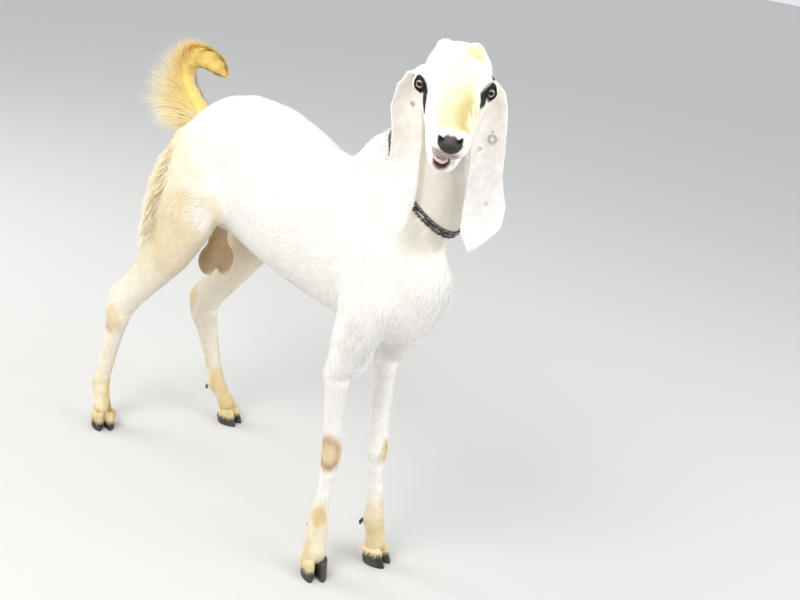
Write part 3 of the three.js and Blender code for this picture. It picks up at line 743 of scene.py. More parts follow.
def face_marks(colours, head, rough, fine, on_face):
    """A golden stripe, strongest above the nose and darker low on its left partly as painted shade; painted
    shade on the left of the face and under the lip; painted shadow lines by the jaw and the horn bud; black
    round the eyes.
    """
    x, y, z = head.T
    down = smoothstep(-60, 60, x)
    across = np.abs(y - (1.5 * down - 1.5) + 5 * rough + 2 * fine) / (26.5 + down)
    stripe = smoothstep(1.25, 0.6, across) * smoothstep(-2, 12, z)
    stripe = stripe * smoothstep(-75, -20, x) * smoothstep(98, 86, x + 2 * fine)
    strength = 0.34 + 0.48 * smoothstep(0, 80, x + 1.1 * y)
    colours = blend(colours, BUFF, strength * stripe * on_face)
    # Darker buff low on the stripe's left: partly the stripe's own deeper gold, partly painted shade on the
    # left of the face.
    deep = smoothstep(20, 84, x + 0.7 * y) * bump(y + 3 * fine, 14, 9.5) * stripe
    colours = blend(colours, DEEP_BUFF_AND_SHADE, 0.9 * deep * on_face)
    # Painted shade: a pale brown tint on the left side of the face, away from the stripe.
    left_face_shade = smoothstep(17, 30, y) * smoothstep(-10, 30, x) * smoothstep(-45, -20, z) * smoothstep(104, 90, x)
    colours = blend(colours, FACE_SHADE_TINT, 0.45 * left_face_shade * (1 - stripe) * on_face)
    colours = blend(colours, BUFF, 0.8 * on_face * spot(head, (-42, 24, 32), (16, 16, 10)))
    # A straw line below the horn bud's golden patch is a painted shadow under its tuft.
    colours = blend(colours, STRAW, 0.8 * on_face * streak(head, (-32, 16, 35), (-34, 34, 28), 2.5, 2.0))
    colours = blend(colours, BLACK, 0.98 * on_face * eye_black(head + 0.8 * fine[:, None]))
    # Grey under the lower lip is painted shade below the open mouth.
    colours = blend(colours, GREY, 0.5 * on_face * spot(head, (95, -4, -40), (10, 15, 9)))
    # A faint brown line along the left jaw is a painted shadow where the face's edge meets the ear.
    jaw_shadow_line = streak(head, (20, 46, -4), (95, 27, -5), 3.0, 2.0)
    return blend(colours, BROWN, 0.25 * jaw_shadow_line * on_face)


def ear_marks(colours, points, fine, on_ear):
    """The ears are the whitest of all, and carry a few grey rings and specks."""
    mm = stand_mm(points)
    colours = blend(colours, EAR_WHITE, 0.9 * on_ear)
    for centre, size in EAR_MARKS:
        away = np.linalg.norm(mm - centre, axis=-1) / size + 0.25 * fine + 0.15 * ripple(points, 0.004, 5)
        ring = bump(away, 0.75, 0.28) * (0.7 + 0.3 * fine)
        colours = blend(colours, EAR_GREY, on_ear * 0.85 * ring)
    return colours


# Where the specks are and how large, in mm.
EAR_MARKS = [
    ((145, -6, 791), 6.5),
    ((143, -3, 790), 2.4),
    ((135, -18, 775), 2.6),
    ((144, -8, 801), 1.6),
    ((137, -12, 786), 1.4),
    ((152, -2, 700), 1.8),
    ((59, -84, 819), 3.6),
]


def eye_black(head):
    """Black lids and tear streaks."""
    total = np.zeros(len(head))
    for side in EYE_CENTRE:
        edge, depth, radius = lid_distance(side, head)
        near = smoothstep(30, 24, radius)
        total = np.maximum(total, smoothstep(3.0, 1.8, edge) * near * (depth > 0))
    right = streak(head, (5, -50, 15), (27, -36.5, 19.5), 5.0, 1.8)
    right = np.maximum(right, streak(head, (14, -45, 12), (25, -40, 12), 6, 3.5))
    right = np.maximum(right, streak(head, (18, -43.5, 9), (50, -40, -2), 6.5, 3.2))
    left = streak(head, (6, 46, 17), (27, 37, 17), 6.5, 7.5)
    left = np.maximum(left, spot(head, (27, 38.5, 14), (13, 9, 8.5)))
    left = np.maximum(left, streak(head, (27, 39, 13), (40, 36, 13.5), 7.5, 4.6))
    lash = spot(head, (-6, 46.5, 23), (4.2, 5, 2.8))
    return np.maximum(np.maximum(total, lash), np.maximum(right, left))


def skin_colours(points, region):
    """Under the coat the skin is a shade of the hair; bare places have their own colours, with a painted
    highlight on the nose and painted shade in the nostrils and inside the mouth.
    """
    head, fine = head_mm(points), ripple(points, 0.006, 9)
    on_face = region == HEAD_PART
    colours = hair_colours(points, region) * SKIN_SHADE
    colours = blend(colours, PINK, 0.02 * (region == EAR))
    # A lighter spot on the nose pad is a painted highlight.
    nose = NOSE_BLACK + NOSE_PAINTED_HIGHLIGHT * spot(head, (103, -2, 9), (10, 9, 7))[:, None]
    colours = blend(colours, nose, 0.97 * nose_pad(head) * on_face)
    # The nostrils are darkened further as painted shade in their hollows.
    for side in (1, -1):
        nostril_shade = spot(head, (105, NOSE_MM + side * 12.5, 9), (7, 4.6, 3.2))
        colours = blend(colours, BLACK * 0.4, nostril_shade * on_face)
    colours = blend(colours, LIP_GREY, 0.9 * (lip_skin(head) * on_face) * (0.8 + 0.2 * fine))
    # Inside the open mouth the skin is painted a near-black red as painted shade in its hollow.
    inside = smoothstep(1.2, -0.2, mouth_gap(head - MOUTH_MM))
    colours = blend(colours, MOUTH_SHADE_RED, inside * on_face)
    return blend(colours, BLACK, eye_black(head) * on_face)


def nose_pad(head):
    """The bare dark nose: a heart with its notch on top."""
    x, y, z = head.T
    y = y - NOSE_MM - 0.12 * np.maximum(8 - z, 0)
    across = np.abs(y)
    lower = smoothstep(-9, -5.8, z - 0.42 * across)
    wide = smoothstep(17.6, 15.4, across + 0.82 * np.maximum(4 - z, 0) + 0.9 * np.maximum(z - 6.5, 0))
    lobes = 0.6 * np.exp(-(((across - 7) / 4) ** 2)) - 0.6 * np.exp(-((y / 3) ** 2))
    lobes = lobes - 1.5 * smoothstep(11, 16, across)
    top = smoothstep(12.4, 10.8, z - lobes - 3.6 * np.exp(-((y / 9) ** 2)))
    return smoothstep(95, 99, x) * lower * wide * top


def lip_skin(head):
    """The lips are bare round the mouth, above it and up to the nose."""
    edge = mouth_gap(head - MOUTH_MM)
    upper = smoothstep(9.5, 5.5, edge) * smoothstep(-30, -22, head[:, 2])
    under_nose = spot(head, (112, -7, -10), (16, 20, 9)) * (1 - nose_pad(head))
    bare_lips = np.maximum(smoothstep(3.4, 1.8, edge), np.maximum(upper, under_nose))
    return bare_lips * smoothstep(96, 104, head[:, 0])


# ---- the coat ----
RNG = np.random.default_rng(SEED)
TUFT_KEYS = ("points", "normals", "colours", "uvs")
# How many times over the short hair covers the skin.
COVER = 2.6
EAR_COVER = 2.4
# How deep roots are sunk into the skin, and how near the floor hair may come, in metres.
ROOT_DEPTH = 0.0004
LOWEST = 0.0006
# How far a wavy tuft's wave turns along it, how round a tuft is shaded, and its half size on the piece's map.
WAVE_TURN = 5.5
ROUNDING = 0.4
TUFT_ON_MAP = 0.0013


def areas(skin, triangles):
    corners = skin.points[triangles]
    return 0.5 * np.linalg.norm(
        np.cross(corners[:, 1] - corners[:, 0], corners[:, 2] - corners[:, 0]), axis=-1
    )


class Roots:
    """Random places on the skin where tufts grow; density is in tufts a square metre."""

    def __init__(self, skin, triangles, density):
        expected = density * areas(skin, triangles)
        counts = np.floor(expected + RNG.random(len(expected))).astype(int)
        chosen = triangles[np.repeat(np.arange(len(triangles)), counts)]
        a, b = RNG.random((2, len(chosen)))
        folded = a + b > 1
        a, b = np.where(folded, 1 - a, a), np.where(folded, 1 - b, b)
        weights = np.stack([1 - a - b, a, b], -1)[..., None]
        self.points = (skin.points[chosen] * weights).sum(1)
        self.normals = unit((skin.normals[chosen] * weights).sum(1))
        self.count = len(self.points)


def combed(ways, roots, spread, *ripples):
    """Ways laid onto the skin and turned on it, by ripples (degrees, size, seed) and at random by spread."""
    normals = roots.normals
    ways = unit(ways - normals * (ways * normals).sum(-1, keepdims=True))
    stray = sum(degrees * ripple(roots.points, size, seed) for degrees, size, seed in ripples)
    turn = np.radians(stray + RNG.normal(0, spread, roots.count))[:, None]
    return ways * np.cos(turn) + np.cross(normals, ways) * np.sin(turn)


def tones(roots, region, spread, root, tip):
    """The colours of tufts at root and tip: the hair's colour there, varied at random by spread; root darkens
    it as painted shade deep in the coat and tip lightens it as painted light on the ends.
    """
    colours = hair_colours(roots.points, np.full(roots.count, region))
    colours = colours * (1 + RNG.normal(0, spread, roots.count))[:, None]
    return colours * root, np.clip(colours * tip, 0, 1)


def tuft_mesh(roots, way, length, width, colours, tips, uv, segments=2, lift=0.3, droop=0.2, wave=0.0,
              shade=0.8, sag=0.0):
    """Tapering blades from roots along way.

    lift raises them off the skin, droop lays their tips down on it again, and sag pulls them to the ground.
    shade darkens the roots as painted shade deep in the coat, and uv is where each tuft lies on the piece's
    map.
    """
    normal = roots.normals
    side = unit(np.cross(normal, way))
    face = unit(normal - 0.8 * way * (way * normal).sum(-1)[:, None])
    phase = RNG.random(roots.count) * 2 * math.pi
    made = {key: [] for key in TUFT_KEYS}
    for i, t in enumerate(np.arange(segments + 1) / segments):
        rise = lift * t - droop * t * t
        sway = wave * t * np.sin(phase + WAVE_TURN * t)
        line = roots.points + way * (length * (t - 0.04))[:, None]
        line = line + normal * (length * rise - ROOT_DEPTH)[:, None] + side * (length * sway)[:, None]
        line[:, 2] -= length * sag * t * t
        # Roots are darkened by shade as painted shade deep in the coat; tips keep their full colour.
        root_shade = shade + (1 - shade) * smoothstep(0, 0.5, t)
        for hand in (-1, 1) if i < segments else (0,):
            half = 0.5 * hand * width * (0.55 + 0.45 * min(1, 3 * t)) * (1.0 - t**1.6)
            made["points"].append(line + side * half[:, None])
            made["normals"].append(unit(face + side * (ROUNDING * hand)))
            made["colours"].append((colours + (tips - colours) * t) * root_shade)
            made["uvs"].append(uv + np.array([TUFT_ON_MAP * hand, 2 * TUFT_ON_MAP * t - TUFT_ON_MAP]))
    made = {key: np.stack(rows, 1).reshape(-1, rows[0].shape[1]) for key, rows in made.items()}
    pattern = []
    for a in range(0, 2 * segments - 2, 2):
        pattern += [(a, a + 3, a + 1), (a, a + 2, a + 3)]
    pattern.append((2 * segments - 2, 2 * segments, 2 * segments - 1))
    starts = np.arange(roots.count) * (2 * segments + 1)
    made["faces"] = (np.array(pattern)[None] + starts[:, None, None]).reshape(-1, 3)
    return made


def make_piece(obj, material, slot, *replaced):
    """Every piece rides on the one body and stands in for the CAD nodes that are named; slot is not used."""
    obj.data.materials.append(material)
    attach(obj, "root")
    if replaced:
        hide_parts(*replaced)


def coat_piece(name, parts, material, slot):
    """One piece of the coat from sets of tufts; no hair reaches under the floor."""
    starts = np.cumsum([0] + [len(part["points"]) for part in parts])
    faces = np.vstack([part["faces"] + start for part, start in zip(parts, starts)])
    points, normals, colours, uvs = [np.vstack([part[key] for part in parts]) for key in TUFT_KEYS]
    points[:, 2] = np.maximum(points[:, 2], LOWEST)
    obj = mesh_object(name, points, faces, normals)
    paint(obj, colours)
    layer = obj.data.uv_layers.new(name="OFBake")
    layer.data.foreach_set("uv", np.ascontiguousarray(uvs[faces.ravel()], np.float32).ravel())
    make_piece(obj, material, slot)


def paint(obj, colours):
    attribute = obj.data.color_attributes.new("Markings", "FLOAT_COLOR", "POINT")
    rgba = np.ones((len(colours), 4), np.float32)
    rgba[:, :3] = np.clip(colours, 0, 1)
    attribute.data.foreach_set("color", rgba.ravel())


def round_map(points, start, end):
    """Where points fall on the unwrap of a tube round the line from start to end."""
    axis = unit(end - start)
    across = unit(np.cross(axis, [0.0, 1.0, 0.02]))
    offset = points - start
    angle = np.arctan2(offset @ np.cross(axis, across), offset @ across) / (2 * math.pi) + 0.5
    along = offset @ axis / np.linalg.norm(end - start)
    return np.clip(np.stack([angle, 0.05 + 0.9 * along], -1), 0.004, 0.996)


def leaning(ways, other, weight):
    """Ways led over to another by a weight from 0 to 1."""
    weight = weight[:, None]
    return ways * (1 - weight) + np.asarray(other) * weight


def body_way(mm, normals):
    """Which way the hair of the body lies: back along the back, down the flanks, down the legs."""
    x, y, z = mm.T
    one, out = np.ones(len(mm)), np.sign(y)
    steep = np.clip(1 - np.abs(normals[:, 2]), 0, 1)
    ways = np.stack([-one, 0 * one, -0.75 * steep], -1)
    ways = leaning(ways, np.stack([-0.15 * one, 0.1 * out, -one], -1), smoothstep(-20, 60, x))
    neck = smoothstep(570, 640, z) * smoothstep(-60, 0, x)
    ways = leaning(ways, np.stack([-0.62 * one, 0.25 * out, -0.95 * one], -1), neck)
    ways = leaning(ways, (-0.22, 0, -1), smoothstep(560, 470, z) * smoothstep(-150, -90, x))
    ways = leaning(ways, (-0.42, 0, -0.9), smoothstep(-400, -470, x) * smoothstep(620, 520, z))
    gaskin = smoothstep(-360, -400, x) * smoothstep(420, 360, z) * smoothstep(235, 275, z)
    ways = leaning(ways, (-0.6, 0, -0.75), gaskin)
    return leaning(ways, (0.1, 0, -1), smoothstep(260, 225, z) * (x < -350))


def thigh_edge(mm, normals):
    """The outer rear edge of the thighs, where the hair hangs in locks."""
    x, y, z = mm.T
    facing = -0.62 * normals[:, 0] + 0.78 * np.sign(y) * normals[:, 1]
    behind = smoothstep(-430, -480, x)
    return smoothstep(0.78, 0.94, facing) * behind * smoothstep(425, 475, z) * smoothstep(610, 570, z)


def crest(mm, normals):
    """The ridge of the neck."""
    x, _, z = mm.T
    return smoothstep(0.25, 0.75, -normals[:, 0] + 0.4 * normals[:, 2]) * smoothstep(600, 660, z) * (x > -80)


def over_collar(mm, normals):
    """The nape just above the collar, where longer hair falls over the strap."""
    above = (mm * MM + STAND - COLLAR_CENTRE) @ COLLAR_AXIS / MM
    return bump(above, 13, 6) * smoothstep(-0.35, 0.15, -normals[:, 0])


def body_length(mm, normals):
    """Hair length in mm."""
    z = mm[:, 2]
    length = 8 + 5 * smoothstep(180, 400, z) + 3 * smoothstep(430, 520, z)
    length = length + 3 * smoothstep(100, 40, z)
    length = length + 5 * smoothstep(-0.4, -0.8, normals[:, 2]) * (z > 380)
    return length + 9 * crest(mm, normals) + 8 * thigh_edge(mm, normals)


def body_width(mm):
    return 0.85 + 0.35 * smoothstep(300, 460, mm[:, 2])


def under_strap(points):
    away = points - COLLAR_CENTRE
    return (np.abs(away @ COLLAR_AXIS) < 7 * MM) & (np.linalg.norm(away, axis=-1) < 120 * MM)


def body_coat(skin, triangles, map_line, part=BODY, shorter=1.0):
    """The short coat over part of the body."""
    centre = skin.points[triangles].mean(1)
    mm = stand_mm(centre)
    length = body_length(mm, skin.normals[triangles[:, 0]]) * shorter
    density = COVER / (length * body_width(mm)) / MM**2
    roots = Roots(skin, triangles, np.where(under_strap(centre), 0, density))
    mm = stand_mm(roots.points)
    length = body_length(mm, roots.normals) * shorter * RNG.uniform(0.75, 1.2, roots.count)
    width = body_width(mm) * RNG.uniform(0.7, 1.3, roots.count)
    way = combed(body_way(mm, roots.normals), roots, 5, (12, 0.045, 11), (7, 0.012, 12))
    edge = thigh_edge(mm, roots.normals)
    return tuft_mesh(
        roots, way, length * MM, width * MM, *tones(roots, part, 0.035, 0.97, 1.04),
        round_map(roots.points, *map_line), lift=0.18 + 0.18 * edge, droop=0.11, wave=0.04 + 0.05 * edge,
        shade=0.95,
    )


def long_locks(skin, triangles, weight, count, length, width, way, map_line, segments=3, **style):
    """Some longer locks where weight is high; way is one direction or a function of place and normal."""
    share = weight(stand_mm(skin.points[triangles].mean(1)), skin.normals[triangles[:, 0]])
    total = (share * areas(skin, triangles)).sum()
    roots = Roots(skin, triangles, share * count / max(total, 1e-9))
    ways = way(stand_mm(roots.points), roots.normals) if callable(way) else np.tile(way, (roots.count, 1))
    ways = combed(ways, roots, 7, (14, 0.02, 21))
    colours, tips = tones(roots, BODY, 0.045, 0.95, 1.05)
    lengths = RNG.uniform(0.6, 1.1, roots.count) * length * MM
    widths = RNG.uniform(0.7, 1.3, roots.count) * width * MM
    uv = round_map(roots.points, *map_line)
    return tuft_mesh(roots, ways, lengths, widths, colours, tips, uv, segments=segments, **style)


# The tail's hair ends 32 mm behind the rearmost point of the model's nodes at most.
REAR_END = min(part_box(node)[0][0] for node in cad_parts) - 32 * MM
# How far the hair stands out from the outside of the curl at each point of TAIL_LINE, and how steeply.
FRINGE_REACH_MM = (14, 58, 84, 86, 72, 34, 8, 3, 2, 1, 0.5)
FRINGE_SLOPE = (0.5, 0.8, 0.92, 0.92, 0.88, 0.72, 0.3, 0.12, 0.08, 0.08, 0.1)
# The outside of the tail's curl at each point, forward and up.
TAIL_BACK = [
    (-0.5, -0.85), (-0.72, -0.7), (-0.88, -0.45), (-0.95, -0.3), (-1, -0.1), (-0.95, 0.3),
    (-0.75, 0.65), (-0.35, 0.93), (0.05, 1), (0.4, 0.9), (0.6, 0.8),
]
TAIL_STATIONS = np.linspace(0, 1, len(TAIL_LINE))
# How many tufts, how much of the fringe's reach they have, their segments and their width in mm.
TAIL_LAYERS = ((11000, 0.14, 2, 1.1), (9000, 0.5, 4, 1.2), (11000, 1.0, 5, 1.0))
TAIL_GOLD = np.array([0.99, 0.76, 0.24])
TAIL_CREAM = np.array([0.94, 0.87, 0.74])
TAIL_PALE = np.array([0.96, 0.90, 0.72])


def tail_rear(along):
    """The way out from the curl of the tail at each point of it."""
    forward, up = [np.interp(along, TAIL_STATIONS, column) for column in np.array(TAIL_BACK).T]
    return unit(np.stack([forward, 0 * forward, up], -1))


def rear_side(along, outward):
    """How far a point of the tail faces the outside of its curl."""
    return (outward * tail_rear(along)).sum(-1)


def tail_colours(along, outward):
    """Gold, pale at the rear and on the left of the core, and white at the root."""
    rear = rear_side(along, outward)
    colours = np.tile(TAIL_GOLD, (len(along), 1))
    left = smoothstep(-0.1, 0.6, outward[:, 1]) * smoothstep(0.3, -0.2, rear) * smoothstep(0.6, 0.4, along)
    colours = blend(colours, TAIL_CREAM, 0.85 * left)
    colours = blend(colours, WHITE, 0.9 * smoothstep(0.2, 0.08, along) * smoothstep(0.2, -0.4, rear))
    colours = blend(colours, TAIL_PALE, 0.8 * smoothstep(0.2, 0.8, rear) * smoothstep(0.62, 0.4, along))
    return blend(colours, STRAW, 0.5 * smoothstep(0.16, 0.04, along) * smoothstep(0.0, 0.6, rear))


def tail_layer(skin, triangles, count, share, segments, width):
    """Hair over the tail that fans out on the outside of its curl and to both sides."""
    roots = Roots(skin, triangles, np.full(len(triangles), count / areas(skin, triangles).sum()))
    _, along, outward, onward = tail_place(roots.points)
    rear = rear_side(along, outward)
    reach = np.interp(along, TAIL_STATIONS, FRINGE_REACH_MM)
    slope = np.interp(along, TAIL_STATIONS, FRINGE_SLOPE)
    fan = smoothstep(-0.4, 0.15, rear)
    length = 11 - 4 * smoothstep(0.7, 1, along) + share * fan * reach / slope
    length = length * RNG.uniform(0.7, 1.05, roots.count)
    if share == 1.0:
        length = length * RNG.choice([1.0, 1.12], roots.count, p=[0.93, 0.07])
    steep = (0.12 + (slope - 0.12) * fan)[:, None]
    behind = unit(outward * 0.8 + tail_rear(along) * (0.7 * fan)[:, None])
    way = unit(onward * np.sqrt(1 - steep**2) + behind * steep)
    way = unit(way + RNG.normal(0, 0.07, (roots.count, 3)))
    room = (roots.points[:, 0] - REAR_END) / np.maximum(-way[:, 0], 1e-3) / MM
    length = np.minimum(length, room * RNG.uniform(0.8, 1, roots.count))
    base = tail_colours(along, outward) * (1 + RNG.normal(0, 0.06, roots.count))[:, None]
    pale = (0.9 * fan * min(1, share * 1.8) * smoothstep(0.62, 0.42, along))[:, None]
    roots.normals = unit(outward + 0.001)
    turn = np.arctan2(outward[:, 1], rear) / math.pi
    # The roots are drawn a little darker, and shade darkens them more: painted shade deep in the tail's hair.
    return tuft_mesh(
        roots, way, length * MM, width * MM * RNG.uniform(0.6, 1.2, roots.count), base * 0.95,
        base + (TAIL_PALE - base) * pale, np.stack([0.5 + 0.46 * turn, 0.04 + 0.92 * along], -1),
        segments=segments, lift=0.03, droop=0.06, wave=0.035, shade=0.93,
        sag=0.10 * fan * smoothstep(0.6, 0.4, along) * (share > 0.3),
    )


# The line that the map of the head's coat is wrapped round.
HEAD_LINE = on_head(-110, 0, -20), on_head(130, 0, -20)


def head_length(head):
    """Hair length in mm: longer on the crown and under the chin."""
    x = head[:, 0]
    length = 2.0 + 2.0 * smoothstep(104, 50, x) + 4 * smoothstep(-20, -80, x)
    return length + 5 * smoothstep(-36, -52, head[:, 2]) * smoothstep(60, 90, x)


def head_width(head):
    return 0.5 + 0.25 * smoothstep(60, -60, head[:, 0])


def head_way(head):
    """Hair parts at a whorl on the forehead and runs down the nose and back over the crown and cheeks."""
    x, y, z = head.T
    ahead = smoothstep(-10, 40, x)
    down = np.stack([np.ones(len(x)), 0.1 * y / 30, np.full(len(x), -0.35)], -1)
    away = unit(head - (8, 0, 30))
    ways = away * (1 - 0.6 * ahead[:, None]) + down * 0.6 * ahead[:, None]
    return leaning(ways, (-0.75, 0, -0.55), smoothstep(18, -10, z)) @ HEAD_AXES.T


def bare(head):
    """Places on the face without hair."""
    naked = np.maximum(np.maximum(nose_pad(head), nose_pad(head - (0, 0, 2.5))), lip_skin(head))
    for side in EYE_CENTRE:
        edge, depth, radius = lid_distance(side, head)
        naked = np.maximum(naked, (edge < 1.6) * (radius < 24) * (depth > 0))
    return naked


def head_coat(skin, side):
    """The short coat over one side of the head and of the neck above the collar."""
    triangles = skin.triangles(HEAD_PART)
    on_left = head_mm(skin.points[triangles[:, 0]])[:, 1] > 0
    triangles = triangles[on_left == (side == "left")]
    centre = skin.points[triangles].mean(1)
    head = head_mm(centre)
    density = COVER / (head_length(head) * head_width(head)) / MM**2
    hairy = (bare(head) < 0.5) & ~under_strap(centre)
    roots = Roots(skin, triangles, density * hairy)
    head = head_mm(roots.points)
    neck = smoothstep(-52, -80, head[:, 2] + 0.4 * head[:, 0])
    length = (head_length(head) + 7 * neck) * RNG.uniform(0.75, 1.2, roots.count)
    width = head_width(head) * RNG.uniform(0.7, 1.3, roots.count)
    way = leaning(head_way(head), (-0.62, 0, -0.8), neck)
    way = combed(way, roots, 7, (12, 0.02, 31), (8, 0.006, 32))
    return tuft_mesh(
        roots, way, length * MM, width * MM, *tones(roots, HEAD_PART, 0.03, 0.97, 1.03),
        round_map(roots.points, *HEAD_LINE), lift=0.2, droop=0.12, wave=0.03, shade=0.94,
    )


# Length and width of the ears' hair, and how far forward the middle between the ears is: the left is ahead.
EAR_HAIR_MM = 5.2
EAR_TUFT_MM = 0.9
BETWEEN_EARS_MM = 106


def ear_coat(skin, side):
    """The short coat that runs down one ear."""
    triangles = skin.triangles(EAR)
    on_left = stand_mm(skin.points[triangles].mean(1))[:, 0] > BETWEEN_EARS_MM
    triangles = triangles[on_left == (side == "left")]
    density = EAR_COVER / (EAR_HAIR_MM * EAR_TUFT_MM) / MM**2
    roots = Roots(skin, triangles, np.full(len(triangles), density))
    low, high = [np.array(corner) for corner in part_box("ear_" + side)]
    middle = (low + high) / 2
    top, foot = [np.array([middle[0], middle[1], end[2]]) for end in (high, low)]
    way = combed(np.tile(unit([0.1, 0, -1]), (roots.count, 1)), roots, 5, (9, 0.03, 41))
    length = EAR_HAIR_MM * RNG.uniform(0.7, 1.25, roots.count)
    colours, tips = tones(roots, EAR, 0.03, 0.98, 1.02)
    width = EAR_TUFT_MM * MM * RNG.uniform(0.7, 1.3, roots.count)
    uv = round_map(roots.points, top, foot)
    style = {"lift": 0.11, "droop": 0.08, "wave": 0.04, "shade": 0.96}
    return tuft_mesh(roots, way, length * MM, width, colours, tips, uv, **style)


# ---- materials ----
class Nodes:
    """A short way to write a material's node tree."""

    def __init__(self, name):
        self.material = bpy.data.materials.new(name)
        self.material.use_nodes = True
        self.tree = self.material.node_tree
        self.shader = self.tree.nodes["Principled BSDF"]

    def plug(self, socket, value):
        if isinstance(value, bpy.types.NodeSocket):
            self.tree.links.new(value, socket)
        else:
            socket.default_value = value

    def add(self, kind, inputs=None, output=0, **settings):
        """A new node's output."""
        node = self.tree.nodes.new(kind)
        for key, value in settings.items():
            setattr(node, key, value)
        for key, value in (inputs or {}).items():
            self.plug(node.inputs[key], value)
        return node.outputs[output]

    def set(self, **values):
        for key, value in values.items():
            self.plug(self.shader.inputs[key.replace("_", " ")], value)

    def markings(self):
        return self.add("ShaderNodeAttribute", output="Color", attribute_name="Markings")

    def noise(self, scale, detail=3.0, stretch=(1, 1, 1)):
        place_on = self.add("ShaderNodeTexCoord", output="Object")
        place_on = self.add("ShaderNodeMapping", {"Vector": place_on, "Scale": stretch})
        return self.add("ShaderNodeTexNoise", {"Vector": place_on, "Scale": scale, "Detail": detail}, "Fac")

    def ramp(self, factor, low, high, start, end):
        inputs = {"Value": factor, "From Min": low, "From Max": high, "To Min": start, "To Max": end}
        return self.add("ShaderNodeMapRange", inputs, "Result")

    def mix(self, factor, first, second):
        return self.add("ShaderNodeMix", {0: factor, 6: (*first, 1), 7: (*second, 1)}, 2, data_type="RGBA")

    def tinted(self, colour, factor, amount_low, amount_high):
        """A colour made a little darker and lighter by a factor."""
        gain = self.ramp(factor, 0.3, 0.7, amount_low, amount_high)
        gain = self.add("ShaderNodeCombineXYZ", {0: gain, 1: gain, 2: gain})
        return self.add("ShaderNodeVectorMath", {0: colour, 1: gain}, operation="MULTIPLY")

    def bump(self, height, strength, distance):
        return self.add("ShaderNodeBump", {"Height": height, "Strength": strength, "Distance": distance})


def skin_material():
    n = Nodes("goat_skin")
    mottled = n.tinted(n.markings(), n.noise(90, 4), 0.93, 1.06)
    height = n.noise(420, 4, (1, 1, 0.5))
    n.set(Base_Color=mottled, Roughness=0.6, Specular_IOR_Level=0.22, Normal=n.bump(height, 0.35, 0.0008))
    n.set(Subsurface_Weight=0.12, Subsurface_Radius=(0.006, 0.003, 0.002), Subsurface_Scale=1.0)
    return n.material


def coat_material():
    n = Nodes("goat_coat")
    n.set(Base_Color=n.tinted(n.markings(), n.noise(700, 2), 0.95, 1.05), Roughness=0.55)
    n.set(Specular_IOR_Level=0.2, Sheen_Weight=0.06, Sheen_Roughness=0.5)
    return n.material


def horn_material():
    n = Nodes("horn")
    rings = n.noise(60, 3, (1, 1, 6))
    grime = n.noise(25, 4)
    base = n.mix(n.ramp(grime, 0.4, 0.65, 0, 1), (0.022, 0.019, 0.017), (0.085, 0.072, 0.056))
    n.set(Base_Color=base, Roughness=n.ramp(grime, 0.3, 0.7, 0.35, 0.6), Normal=n.bump(rings, 0.5, 0.0012))
    return n.material


def tongue_material():
    n = Nodes("tongue")
    base = n.mix(n.noise(120, 2), (0.80, 0.50, 0.48), (0.88, 0.64, 0.61))
    n.set(Base_Color=base, Roughness=0.3, Normal=n.bump(n.noise(900, 2), 0.4, 0.0006), Coat_Weight=0.4)
    n.set(Subsurface_Weight=0.2, Subsurface_Radius=(0.004, 0.0015, 0.001), Subsurface_Scale=1.0)
    return n.material


def strap_material():
    n = Nodes("strap")
    base = n.mix(n.noise(140, 4), (0.006, 0.006, 0.006), (0.022, 0.021, 0.020))
    n.set(Base_Color=base, Roughness=0.55, Normal=n.bump(n.noise(800, 2), 0.6, 0.0006))
    return n.material


def metal_material(name, colour, roughness):
    n = Nodes(name)
    scuffs = n.noise(320, 4)
    n.set(Base_Color=n.tinted(colour, scuffs, 0.8, 1.08), Metallic=1.0)
    n.set(Roughness=n.ramp(scuffs, 0.3, 0.7, roughness, roughness + 0.2))
    n.set(Normal=n.bump(n.noise(600, 2), 0.2, 0.0004))
    return n.material


def eye_material():
    n = Nodes("eye")
    n.set(Base_Color=n.tinted(n.markings(), n.noise(1500, 2), 0.85, 1.12), Roughness=0.2)
    n.set(Coat_Weight=0.4, Coat_Roughness=0.03, Specular_IOR_Level=0.25)
    return n.material


# ---- eyes, tongue, claws and collar ----
RINGS, AROUND = 72, 96
# Where the colour of the iris and of the pupil starts and where it is full, in mm from the middle.
IRIS_EDGE_MM = (5.2, 4.4)
PUPIL_EDGE_MM = (3.5, 2.9)
IRIS = np.array([0.52, 0.46, 0.37])
PUPIL = np.array([0.004, 0.004, 0.005])
EYE_BROWN = np.array([0.022, 0.016, 0.013])


